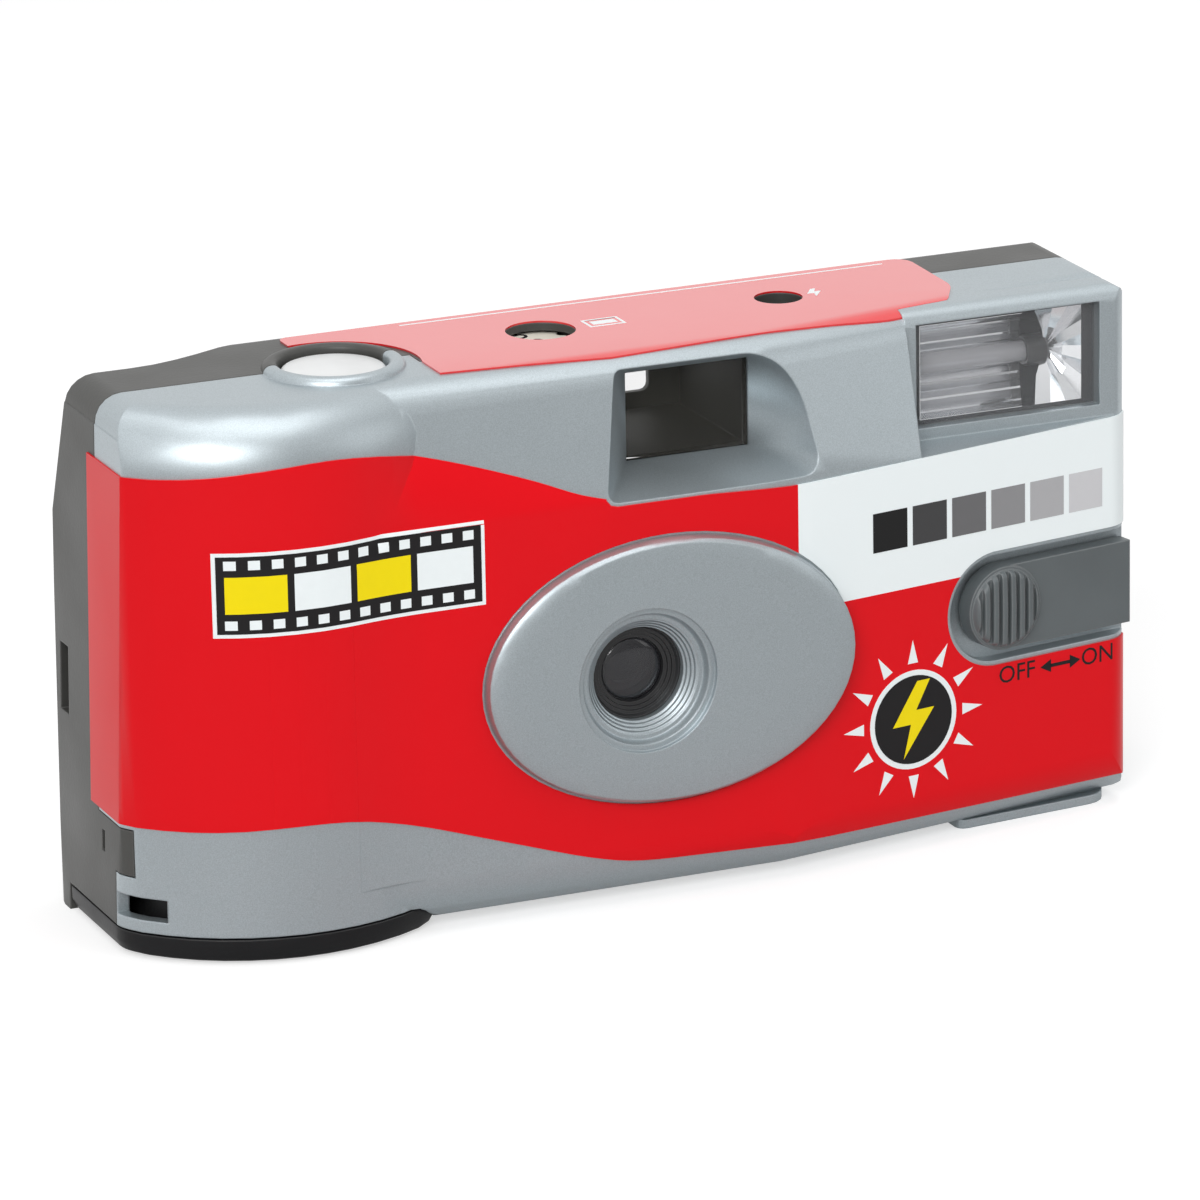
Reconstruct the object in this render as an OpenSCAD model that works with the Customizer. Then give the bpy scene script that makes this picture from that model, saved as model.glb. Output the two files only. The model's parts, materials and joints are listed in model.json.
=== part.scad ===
// Disposable 35 mm film camera with built-in flash.
// Millimetres, +Z up, -Y is the lens side, origin at the bottom centre.

/* [Body] */
// overall width
body_w = 118; // [116:0.5:124]
// height of the flat top face
body_h = 59.6; // [59:0.1:64]
// overall depth from lens rim to back
body_d = 32.5; // [32:0.1:36]
// thickness of the outer covers
wall = 1.4; // [1.2:0.05:1.6]
// angle at which the right front falls back
sweep = 9.7; // [6:0.1:11]
// how far the left side leans in over its height
side_draft = 1.5; // [0.5:0.1:1.6]
// open line between the covers
seam = 0.16; // [0.1:0.01:0.25]

/* [Lens] */
// lens centre across the body
lens_x = -2.8; // [-4:0.1:-1]
// lens centre above the table
lens_z = 25.8; // [25:0.1:27]
// outer diameter of the taking lens
lens_d = 11; // [10:0.1:12]
// width of the raised oval
oval_w = 42.8; // [40:0.1:45]
// height of the raised oval
oval_h = 29.4; // [28:0.1:31]

/* [Windows] */
// viewfinder window width
vf_w = 14.1; // [12:0.1:15]
// viewfinder window height
vf_h = 9.7; // [9:0.1:10.2]
// flash window width
flash_w = 22; // [20:0.1:23]
// flash window height
flash_h = 11.6; // [11:0.1:12]

/* [Film] */
// diameter of the film cassette
cassette_d = 25; // [24.6:0.1:25.2]
// width of the film
film_w = 35; // [34.5:0.1:35]
// film thickness as drawn
film_t = 0.2; // [0.15:0.01:0.25]
// frame width
gate_w = 36; // [34:0.5:36]
// frame height
gate_h = 24; // [22:0.5:24]

/* [Controls] */
// diameter of the advance wheel
wheel_d = 26.6; // [26:0.1:26.8]
// height of the advance wheel
wheel_t = 4; // [3.6:0.1:4.2]
// diameter of the shutter button
button_d = 11.2; // [10:0.1:11.6]
// travel of the shutter button
button_travel = 1.2; // [0.8:0.1:1.3]
// travel of the flash switch
switch_travel = 9; // [7:0.5:9.5]
// gap around pieces that move
run_gap = 0.3; // [0.25:0.01:0.4]
// gap of a shaft in its bearing, on the radius
shaft_gap = 0.06; // [0.03:0.01:0.09]

/* [Hidden] */
$fn = 48;
label_t = 0.2;
half_w = body_w / 2;
back_y = body_d / 2;
boss_y = -body_d / 2;
face_y = boss_y + 2.2;
bulge_y = face_y - 1.2;
bulge_x = -half_w + 19.5;
bulge_r = 23.5;
bend_x = 15;
right_y = face_y + (half_w - bend_x) * tan(sweep);
low_z = 0.6;
round_r = 6;
band_z = 45;
band_a = 17;
top_r = 4;
shoulder_r = 6.2;
split_l = 1.8;
split_r = 7.2;
split_x = -22;
// tongue of the rear cover under the top label
split_m = -1.2;
tongue_x = 30;
tongue_z = body_h - 4;
cas_r = cassette_d / 2;
cas_x = -half_w + 16.8;
cas_y = back_y - 15.55;
cas_z0 = lens_z - 22;
cas_z1 = lens_z + 22;
deck_z = cas_z1 + 1.9;
deck_t = 0.8;
wheel_r = wheel_d / 2;
wheel_z = deck_z + deck_t + 0.35;
film_y = cas_y + cas_r - 1.2;
roll_x = half_w - 17;
roll_y = film_y - 7.1;
gate_y0 = film_y - 1.2;
gate_y1 = film_y - 0.2;
board_y = face_y + 5.1;
lensb_y = face_y + 5;
box_y = face_y + 7.4;
vf_x = 7.05;
vf_z = 51.55;
vf_y = face_y + 9.5;
fl_x = half_w - 14.9;
fl_z = 52.3;
fl_y = -6.3;
but_x = -31;
but_y = 1;
cnt_x = -6.1;
cnt_y = 4.05;
cnt_r = 3.8;
rdy_x = 22.1;
rdy_y = 4.85;
rdy_r = 2.65;
dial_x = cnt_x - 6.2;
dial_y = cnt_y;
dial_r = 9.9;
spr_x = lens_x - gate_w / 2 - 3.6;
spr_y = film_y - 3.65;
bat_r = 5.25;
bat_l = 44.5;
bat_x = 0.2;
bat_y = -4.2;
bat_z = 8.8;
sw_z = lens_z + 0.2;
sw_h = 9.4;
pad_x = 27.3;
rec_d = 1.7;
door_z = 2.8;
door_x = -25.6;
hinge_y = back_y - 3.05;
hinge_z = 1.15;
foot_x = 38;

// Profile tools
function cr(a, b) = a[0] * b[1] - a[1] * b[0];
function un(v) = v / norm(v);
function lf(v) = [-v[1], v[0]];
function at(p, i) = p[(i + len(p)) % len(p)];
function xy(p) = [p[0], p[1]];
function meet(p, u, q, v) = p + u * (cr(q - p, v) / cr(u, v));
function inset(p, o) = [for (i = [0:len(p) - 1])
    let (b = xy(at(p, i)), d0 = un(b - xy(at(p, i - 1))), d1 = un(xy(at(p, i + 1)) - b))
    abs(cr(d0, d1)) < 1e-6 ? b + lf(d0) * o : meet(b + lf(d0) * o, d0, b + lf(d1) * o, d1)];
function corner(a, b, c, r, n) =
    let (u = un(b - a), v = un(c - b), k = atan2(cr(u, v), u * v), s = sign(k))
    let (t = r * tan(abs(k) / 2), m = b - u * t + lf(u) * r * s, w = -lf(u) * s)
    let (a0 = atan2(w[1], w[0]))
    r < 0.05 ? [b] : [for (i = [0:n]) m + r * [cos(a0 + k * i / n), sin(a0 + k * i / n)]];
function turn(p, i) = cr(xy(at(p, i)) - xy(at(p, i - 1)), xy(at(p, i + 1)) - xy(at(p, i)));
// points are [a, b, fillet radius, steps], counter-clockwise, moved in by o
function profile(p, o) = let (q = inset(p, o)) [for (i = [0:len(p) - 1])
    let (r = turn(p, i) > 0 ? max(p[i][2] - o, 0) : p[i][2] + o)
    each (p[i][2] > 0 ? corner(at(q, i - 1), q[i], at(q, i + 1), r, p[i][3]) : [q[i]])];
function arc_pts(c, r, a0, a1, n) = [for (i = [0:n]) let (a = a0 + (a1 - a0) * i / n)
    [c[0] + r * cos(a), c[1] + r * sin(a), 0, 0]];
function oval(w, h, n) = [for (i = [0:n - 1]) [w / 2 * cos(360 * i / n), h / 2 * sin(360 * i / n)]];

// Body form, moved in by o
bulge_a = asin((half_w - 1.6 + bulge_x) / bulge_r);
// d draws the bulge's front in, for the round shoulder
function plan_left(d = 0) = concat([[-half_w, back_y, 3, 4],
        [-half_w, bulge_y + bulge_r - (bulge_r - d) * cos(bulge_a) + 2.6, 5, 4]],
    arc_pts([bulge_x, bulge_y + bulge_r], bulge_r - d, 270 - bulge_a, 270 + 52, 14),
    [[bulge_x + bulge_r * sin(52) + 1, back_y, 0, 0]]);
// the bulge runs out along its tangent and a long hollow into the middle face
run_a = 9.8;
run_x = bulge_x + bulge_r * sin(run_a);
run_y = bulge_y + bulge_r * (1 - cos(run_a));
hollow_x = run_x + (face_y - run_y) / tan(run_a);
function plan_right() = [[run_x, back_y, 0, 0], [run_x, run_y, 0, 0],
    [hollow_x, face_y, 45, 6], [bend_x, face_y, 60, 4],
    [half_w, right_y, 3.5, 6], [half_w, back_y, 3, 5]];

// across = along x at height profile (y, z); the piece is cut away
module along_x(x0, x1) {
    translate([x0, 0, 0]) rotate([90, 0, 90]) linear_extrude(x1 - x0) children();
}
module along_y(y0, y1) {
    translate([0, y1, 0]) rotate([90, 0, 0]) linear_extrude(y1 - y0) children();
}
module along_z(z0, z1) {
    translate([0, 0, z0]) linear_extrude(z1 - z0) children();
}
module in_sweep() {
    translate([bend_x, face_y, 0]) rotate([0, 0, sweep]) children();
}

// cutter for an outside edge: corner at p, quadrant (sa, sb), radius r
module edge_cut(a, b, sa, sb, r, n) {
    polygon(concat(
        [for (i = [0:n]) let (t = 90 * i / n) [a - sa * r + sa * r * sin(t), b - sb * r + sb * r * cos(t)]],
        [[a + sa * 9, b - sb * r], [a + sa * 9, b + sb * 9], [a - sa * r, b + sb * 9]]));
}
module band_cut(o) {
    polygon([[face_y + o - 3 / tan(band_a) * 0 - 4, band_z - 4 / tan(band_a) + o * 0.15],
        [face_y + o + 12 * tan(band_a) + (o * (1 / cos(band_a) - 1)), band_z + 12],
        [face_y + o + 24 * tan(band_a) + (o * (1 / cos(band_a) - 1)), band_z + 24], [face_y - 20, band_z + 24]]);
}
// round between the leaning band and the top face
module top_cut(o) {
    r = top_r - o;
    t = r * tan((90 - band_a) / 2);
    y = face_y + (body_h - o - band_z) * tan(band_a) + o / cos(band_a);
    z = body_h - o;
    e = [y + t + r * cos(180 - band_a), z - r + r * sin(180 - band_a)];
    polygon(concat([for (i = [0:6]) let (a = 90 + (90 - band_a) * i / 6) [y + t + r * cos(a), z - r + r * sin(a)]],
        [e + 9 * [-cos(band_a), sin(band_a)], [y - 14, z + 9], [y + t, z + 9]]));
}
scoop_a = 18.5;
function scoop_y(x) = let (t = min(max((x + half_w - 8.5) / 23, 0), 1))
    back_y - 6.6 + 6.9 * t * t * (3 - 2 * t);
module scoop(o) {
    translate([0, 0, body_h]) rotate([scoop_a, 0, 0]) translate([0, 0, -60]) linear_extrude(80)
        polygon(concat([for (i = [0:16]) let (x = -half_w - 8 + 44 * i / 16) [x, scoop_y(x) - o / cos(scoop_a)]],
            [[-half_w + 36, back_y + 40], [-half_w - 8, back_y + 40]]));
}
module form_left(o) {
    difference() {
        hull() {
            along_z(o > 0 ? o : 0, body_h - shoulder_r) polygon(profile(plan_left(), o));
            for (t = [15:15:90]) let (r = shoulder_r - o, z = body_h - shoulder_r + r * sin(t))
                along_z(z - 0.02, z) polygon(profile(plan_left(r * (1 - cos(t))), o));
        }
        along_x(door_x, 0) edge_cut(face_y + o, low_z + o, -1, -1, round_r - o, 7);
        translate([door_x, -60, -5]) cube([60, 120, 5 + low_z + o]);
    }
}
module form_right(o) {
    difference() {
        along_z(low_z + o, body_h - o) polygon(profile(plan_right(), o));
        along_x(-80, bend_x + 8) edge_cut(face_y + o, low_z + o, -1, -1, round_r - o, 7);
        in_sweep() along_x(-10, 80) edge_cut(o, low_z + o, -1, -1, round_r - o, 7);
        along_x(-80, bend_x + 4) band_cut(o);
        in_sweep() along_x(-12, 80) translate([-face_y, 0]) band_cut(o);
        along_x(-80, bend_x + 6) top_cut(o);
        in_sweep() along_x(-12, 80) translate([-face_y, 0]) top_cut(o);
    }
}
module form(o) {
    difference() {
        union() {
            form_left(o);
            form_right(o);
        }
        // left side leans in
        along_y(-60, 60) polygon([[-half_w + o, 0], [-half_w + side_draft + o, body_h],
            [-half_w + side_draft + o, body_h + 20], [-half_w - 20, body_h + 20], [-half_w - 20, 0]]);
        along_y(-60, 60) edge_cut(-half_w + side_draft + o, body_h - o, -1, 1, 3, 5);
        along_y(-60, 60) edge_cut(half_w - o, body_h - o, 1, 1, 2.5, 5);
        along_y(-60, 60) edge_cut(half_w - o, low_z + o, 1, -1, 1.6, 4);
        along_x(-80, 80) edge_cut(back_y - o, body_h - o, 1, 1, 2.5, 5);
        along_x(door_x, 80) edge_cut(back_y - o, low_z + o, 1, -1, 2, 4);
        scoop(o);
    }
}
module front_zone(g) {
    difference() {
        along_z(-5, 80) polygon([[-90, -60], [90, -60], [90, split_r - g], [split_x + g, split_r - g],
            [split_x + g, split_l - g], [-90, split_l - g]]);
        translate([-90, -3.4 - g, -5]) cube([90 - half_w + 9, 20, 14 + g]);
        translate([-90, -6.4 - g, 9 - g]) cube([90 - half_w + 9, 20, 5.2 + 2 * g]);
        translate([split_x - g, split_m - g, tongue_z - g]) cube([tongue_x - split_x + 2 * g, 40, 20]);
    }
}
module rear_zone(g) {
    union() {
        along_z(-5, 80) polygon([[-90, split_l + g], [split_x - g, split_l + g], [split_x - g, split_r + g],
            [90, split_r + g], [90, 60], [-90, 60]]);
        translate([-90, -3.4 + g, -5]) cube([90 - half_w + 9 - g, 20, 14.4 - g]);
        translate([-90, -6.4 + g, 9 + g]) cube([90 - half_w + 9 - g, 20, 5.2 - 2 * g]);
        translate([split_x + g, split_m + g, tongue_z + g]) cube([tongue_x - split_x - 2 * g, 40, 20]);
        translate([split_x - 1, split_l + g, tongue_z + g]) cube([2, 40, 20]);
    }
}
module door_room(g) {
    along_z(-1, door_z + g) polygon(concat([for (p = profile(plan_left(), -0.5)) [min(p[0], door_x + g), p[1]]]));
}
module hood(e) {
    hull() {
        translate([vf_x - vf_w / 2 - e, vf_y, vf_z - vf_h / 2 - e]) cube([vf_w + 2 * e, 0.05, vf_h + 2 * e]);
        along_y(face_y - 2, face_y - 1.95) polygon(profile([[vf_x - 14.6, vf_z - 6.75, 1.5, 3],
            [vf_x + 13.6, vf_z - 6.75, 3, 5], [vf_x + 13.6, vf_z + 9.35, 13, 10], [vf_x - 14.6, vf_z + 9.35, 1.5, 3]], -e));
    }
}
module switch_room(e) {
    in_sweep() {
        translate([pad_x - 0.8 - e, -3, sw_z - 6 - e]) cube([40, 3 + rec_d + e, 12 + 2 * e]);
        translate([pad_x - 0.8, 0, sw_z]) rotate([90, 0, 0]) translate([0, 0, -rec_d - e])
            cylinder(r = 6 + e, h = rec_d + e + 3);
    }
}
module oval_boss() {
    hull() {
        along_y(face_y, face_y + 1) polygon(oval(oval_w, oval_h, 64));
        along_y(boss_y + 1, boss_y + 1.05) polygon(oval(oval_w - 0.5, oval_h - 0.5, 64));
        // low dome: share of the width, distance behind the rim of the lens well
        for (p = [[0.96, 0.62], [0.9, 0.38], [0.82, 0.2], [0.7, 0.07], [0.58, 0]])
            along_y(boss_y + p[1], boss_y + p[1] + 0.02) polygon(oval(oval_w * p[0], oval_h * p[0], 64));
    }
}
oval_x = lens_x + 3.4;
oval_z = lens_z + 0.4;
// turned about the lens axis: points are [radius, distance in front of y = 0]
module on_lens() {
    translate([lens_x, 0, lens_z]) rotate([90, 0, 0]) children();
}
collar_r = button_d / 2 + 2.1;
module collar() {
    translate([but_x, but_y, body_h]) rotate_extrude() polygon(profile([[button_d / 2 - 1, -wall, 0, 0],
        [collar_r, -wall, 0, 0], [collar_r, 0.8, 0.9, 5], [button_d / 2 + run_gap, 0.8, 0.6, 4],
        [button_d / 2 + run_gap - 0.02, -0.2, 0, 0], [button_d / 2 - 1, -0.2, 0, 0]], 0));
}
module top_holes() {
    translate([but_x, but_y, body_h - 4]) cylinder(r = button_d / 2 + run_gap, h = 9);
    translate([cnt_x, cnt_y, body_h - 4]) cylinder(r = cnt_r, h = 9);
    translate([rdy_x, rdy_y, body_h - 4]) cylinder(r = rdy_r, h = 9);
    // room of the counter dial
    translate([dial_x, dial_y, body_h - 4]) cylinder(r = dial_r + 0.5, h = 3.1);
}
bez_l = fl_x - flash_w / 2 - 1.3;
bez_r = half_w - 0.06;
bez_b = fl_z - flash_h / 2 - 1.3;
module bezel() {
    difference() {
        bezel_block();
        along_y(-60, 60) edge_cut(half_w, body_h, 1, 1, 2.5, 5);
    }
}
module bezel_block() {
    intersection() {
        along_x(bez_l, bez_r) polygon(profile([[fl_y - 0.5, bez_b, 0.5, 3], [fl_y + 4, bez_b, 0, 0],
            [fl_y + 4, body_h, 0, 0], [fl_y - 0.5, body_h, 2, 5]], 0));
        along_z(0, 80) polygon(profile([[bez_l, fl_y - 2, 0, 0], [bez_r, fl_y - 0.5, 3.2, 6], [bez_r, 20, 0, 0],
            [bez_l, 20, 0, 0]], 0));
    }
}
module flash_room(e) {
    hull() {
        translate([bez_l - e, fl_y - 0.55 + e, bez_b - e]) cube([bez_r - bez_l + 2 * e, 0.05, 16]);
        translate([bez_l - 0.4 - e, face_y - 2, bez_b - 2 - e]) cube([bez_r - bez_l + 6, 0.05, 18]);
    }
}
module shell(rooms) {
    difference() {
        form(0);
        difference() {
            form(wall);
            if (rooms) {
                hood(1.2);
                switch_room(1.2);
                flash_room(1.2);
            }
        }
    }
}
module foot() {
    along_z(0, low_z + 0.4) polygon(profile([[foot_x, face_y + 7.4, 1, 3], [half_w - 1.6, right_y + 1.8, 3, 4],
        [half_w - 1.6, back_y - 2, 2, 4], [foot_x, back_y - 2, 1, 3]], 0));
}

module front_cover() {
    color([0.69, 0.72, 0.75]) difference() {
        union() {
            intersection() {
                union() {
                    shell(true);
                    collar();
                    foot();
                }
                front_zone(seam / 2);
            }
            translate([oval_x, 0, oval_z]) oval_boss();
            bezel();
        }
        hood(0);
        switch_room(0);
        // stem slot of the flash switch
        in_sweep() translate([pad_x - 2.6, 0, sw_z - 1.6]) cube([switch_travel + 5.2, 6, 3.2]);
        // clear path of the flash light
        translate([fl_x - flash_w / 2, fl_y - 6, fl_z - flash_h / 2]) cube([flash_w, 16, flash_h]);
        flash_room(0);
        // lens well: stepped cone
        on_lens() rotate_extrude() polygon([[0, -face_y - 3], [5.2, -face_y - 3], [5.2, -face_y - 0.6],
            [6.4, -face_y + 0.7], [6.9, -face_y + 0.7], [7.3, -boss_y - 0.6], [7.95, -boss_y - 0.6],
            [7.95, -boss_y + 1], [0, -boss_y + 1]]);
        top_holes();
        door_room(0.25);
        // latch windows at the left front corner
        translate([-half_w - 1, -9.2, 4.4]) cube([6.2, 5.6, 2.5]);
    }
}
module rear_cover() {
    color([0.36, 0.36, 0.355]) difference() {
        union() {
            intersection() {
                union() {
                    shell(false);
                    collar();
                    foot();
                    // ribs that press the film flat
                    intersection() {
                        form(0.4);
                        for (x = [lens_x - 20, lens_x - 7, lens_x + 7, lens_x + 20])
                            translate([x - 0.6, film_y + 0.35, lens_z - 16]) cube([1.2, 9, 32]);
                    }
                    // ears of the film door
                    for (x = [cas_x - 11.4, cas_x + 9.6])
                        translate([x, hinge_y - 1.7, 0.3]) cube([1.8, back_y - hinge_y + 0.8, 4.2]);
                }
                rear_zone(seam / 2);
            }
        }
        top_holes();
        difference() {
            door_room(0.25);
            translate([-90, hinge_y - 1.7, -5]) cube([90 + cas_x - 9.6, 40, 20]);
            translate([cas_x + 9.6, hinge_y - 1.7, -5]) cube([90, 40, 20]);
            translate([-90, hinge_y + 1.5, -5]) cube([120, 40, 20]);
        }
        along_x(cas_x - 10.9, cas_x + 10.9) translate([hinge_y, hinge_z]) circle(r = 0.7 + shaft_gap);
        // eyepiece opening
        along_y(back_y - 3, back_y + 3) polygon(profile([[vf_x - 4.2, vf_z - 3.3, 0.8, 3], [vf_x + 3.9, vf_z - 3.3, 0.8, 3],
            [vf_x + 3.9, vf_z + 2.7, 0.8, 3], [vf_x - 4.2, vf_z + 2.7, 0.8, 3]], 0));
        along_y(back_y - 0.6, back_y + 3) polygon(profile([[vf_x - 6.6, vf_z - 5, 1.6, 4], [vf_x + 6.4, vf_z - 5, 1.6, 4],
            [vf_x + 6.4, vf_z + 4.4, 1.6, 4], [vf_x - 6.6, vf_z + 4.4, 1.6, 4]], 0));
        // slot of the advance wheel
        translate([cas_x, cas_y, wheel_z - run_gap]) cylinder(r = wheel_r + 0.5, h = wheel_t + 2 * run_gap);
        // latch window in the left side
        translate([-half_w - 1, back_y - 5.2, 22]) cube([3.4, 2.6, 7.6]);
        translate([-half_w - 1, 0, 10]) cube([3.6, 0.9, 2.4]);
    }
}

function door_plan(o) = [for (p = profile(plan_left(), o))
    [min(p[0], door_x - o), min(p[1], hinge_y - 2.35 - o * 0.3)]];
module film_door() {
    color([0.11, 0.11, 0.12]) {
        difference() {
            union() {
                hull() {
                    along_z(0, 0.05) polygon(door_plan(1.5));
                    along_z(0.45, 0.5) polygon(door_plan(0.5));
                    along_z(1.5, door_z) polygon(door_plan(0.05));
                }
                translate([cas_x - 9.3, hinge_y - 3.2, 0.25]) cube([18.6, 3.2, 1.8]);
                along_x(cas_x - 9.3, cas_x + 9.3) translate([hinge_y, hinge_z]) circle(r = 0.95);
                along_x(cas_x - 10.7, cas_x + 10.7) translate([hinge_y, hinge_z]) circle(r = 0.7);
            }
            // room for the cassette end
            translate([cas_x, cas_y, 1.6]) cylinder(r = 6, h = 3);
        }
    }
}
// smooth curve through points, n steps between two of them
function through(a, b, c, d, t) = 0.5 * (2 * b + (c - a) * t + (2 * a - 5 * b + 4 * c - d) * t * t
    + (3 * b - a - 3 * c + d) * t * t * t);
function curve(p, n) = concat([for (i = [0:len(p) - 2], k = [0:n - 1])
    through(p[max(i - 1, 0)], p[i], p[i + 1], p[min(i + 2, len(p) - 1)], k / n)], [p[len(p) - 1]]);
module label_mask() {
    along_y(-40, 3.8) polygon(concat(
        curve([[-70, 53.2], [-58, 53], [-51, 53.4], [-45, 54], [-38, 54.4], [-32, 53.8], [-26, 52.4], [-20, 50.6],
            [-14, 48.5], [-9, 46.5], [-4, 45.2]], 4),
        [[bend_x, 44.4], [half_w - 0.3, 45], [half_w - 0.3, 3.4], [41.6, 3.6], [19.4, 4]],
        curve([[4, 4.6], [-3, 5], [-9, 6.3], [-19, 9.6], [-30, 13.2], [-39, 15], [-52, 14.8], [-70, 14.6]], 4)));
}
module wrap_label() {
    color([0.9, 0.02, 0.08]) difference() {
        intersection() {
            difference() {
                form(-label_t);
                form(0);
            }
            label_mask();
        }
        translate([oval_x, 0, oval_z]) along_y(-40, 0) polygon(oval(oval_w + 0.5, oval_h + 0.5, 64));
        switch_room(0.5);
        hood(0.3);
        translate([half_w - 0.3, -40, -1]) cube([20, 80, 80]);
    }
}
module top_label() {
    color([0.9, 0.02, 0.08]) difference() {
        intersection() {
            difference() {
                form(-label_t);
                form(0);
            }
            along_z(body_h - 2.2, body_h + 5) polygon(profile([[but_x - 1.6, -6, 0, 0], [half_w - 62, -8.2, 0, 0],
                [half_w - 28.4, -6.4, 20, 5], [half_w - 21, -4.4, 4, 9], [half_w - 18, 1, 6, 7],
                [half_w - 17.6, back_y - 2.4, 2, 4], [but_x - 1.6, back_y - 2.7, 1, 3]], 0));
        }
        translate([but_x, but_y, body_h - 3]) cylinder(r = collar_r + 1.7, h = 8);
        along_z(body_h - 5, body_h + 5) polygon([[but_x - 20, -40], [split_x, -40], [split_x, 0], [but_x, but_y], [but_x - 20, but_y]]);
        translate([cnt_x, cnt_y, body_h - 1]) cylinder(r = cnt_r, h = 4);
        translate([rdy_x, rdy_y, body_h - 1]) cylinder(r = rdy_r, h = 4);
        hood(0.3);
        bezel();
    }
}

// Frame that carries film, lens and shutter
vf_l = vf_x - vf_w / 2 - 0.9;
vf_r = vf_x + vf_w / 2 + 0.9;
vf_b = vf_z - vf_h / 2 - 0.9;
vf_t = vf_z + vf_h / 2 + 0.9;
plate_l = -28;
room_r = 8;
plate_r = roll_x - room_r;
frame_z0 = 2.3;
module light_cone(e, y0, y1) {
    hull() {
        translate([lens_x - 5.5 - e, y0, lens_z - 5 - e]) cube([11 + 2 * e, 0.02, 10 + 2 * e]);
        translate([lens_x - gate_w / 2 - e, y1, lens_z - gate_h / 2 - e])
            cube([gate_w + 2 * e, 0.02, gate_h + 2 * e]);
    }
}
module post(x, y, z0, z1, r) {
    translate([x, y, z0]) cylinder(r = r, h = z1 - z0);
}
stem_x = but_x + 3.8;
stem_y = but_y + 2;
rel_x = -19;
rel_y = 8.6;
cock_x = -7.5;
cock_y = 8.2;
met_x = -13.5;
met_y = 10.9;
lever_z = deck_z + deck_t + 0.35;
lever_t = 1.1;
blade_x = lens_x - 8;
blade_z = lens_z + 8.4;
blade_y = box_y - 0.9;
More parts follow.
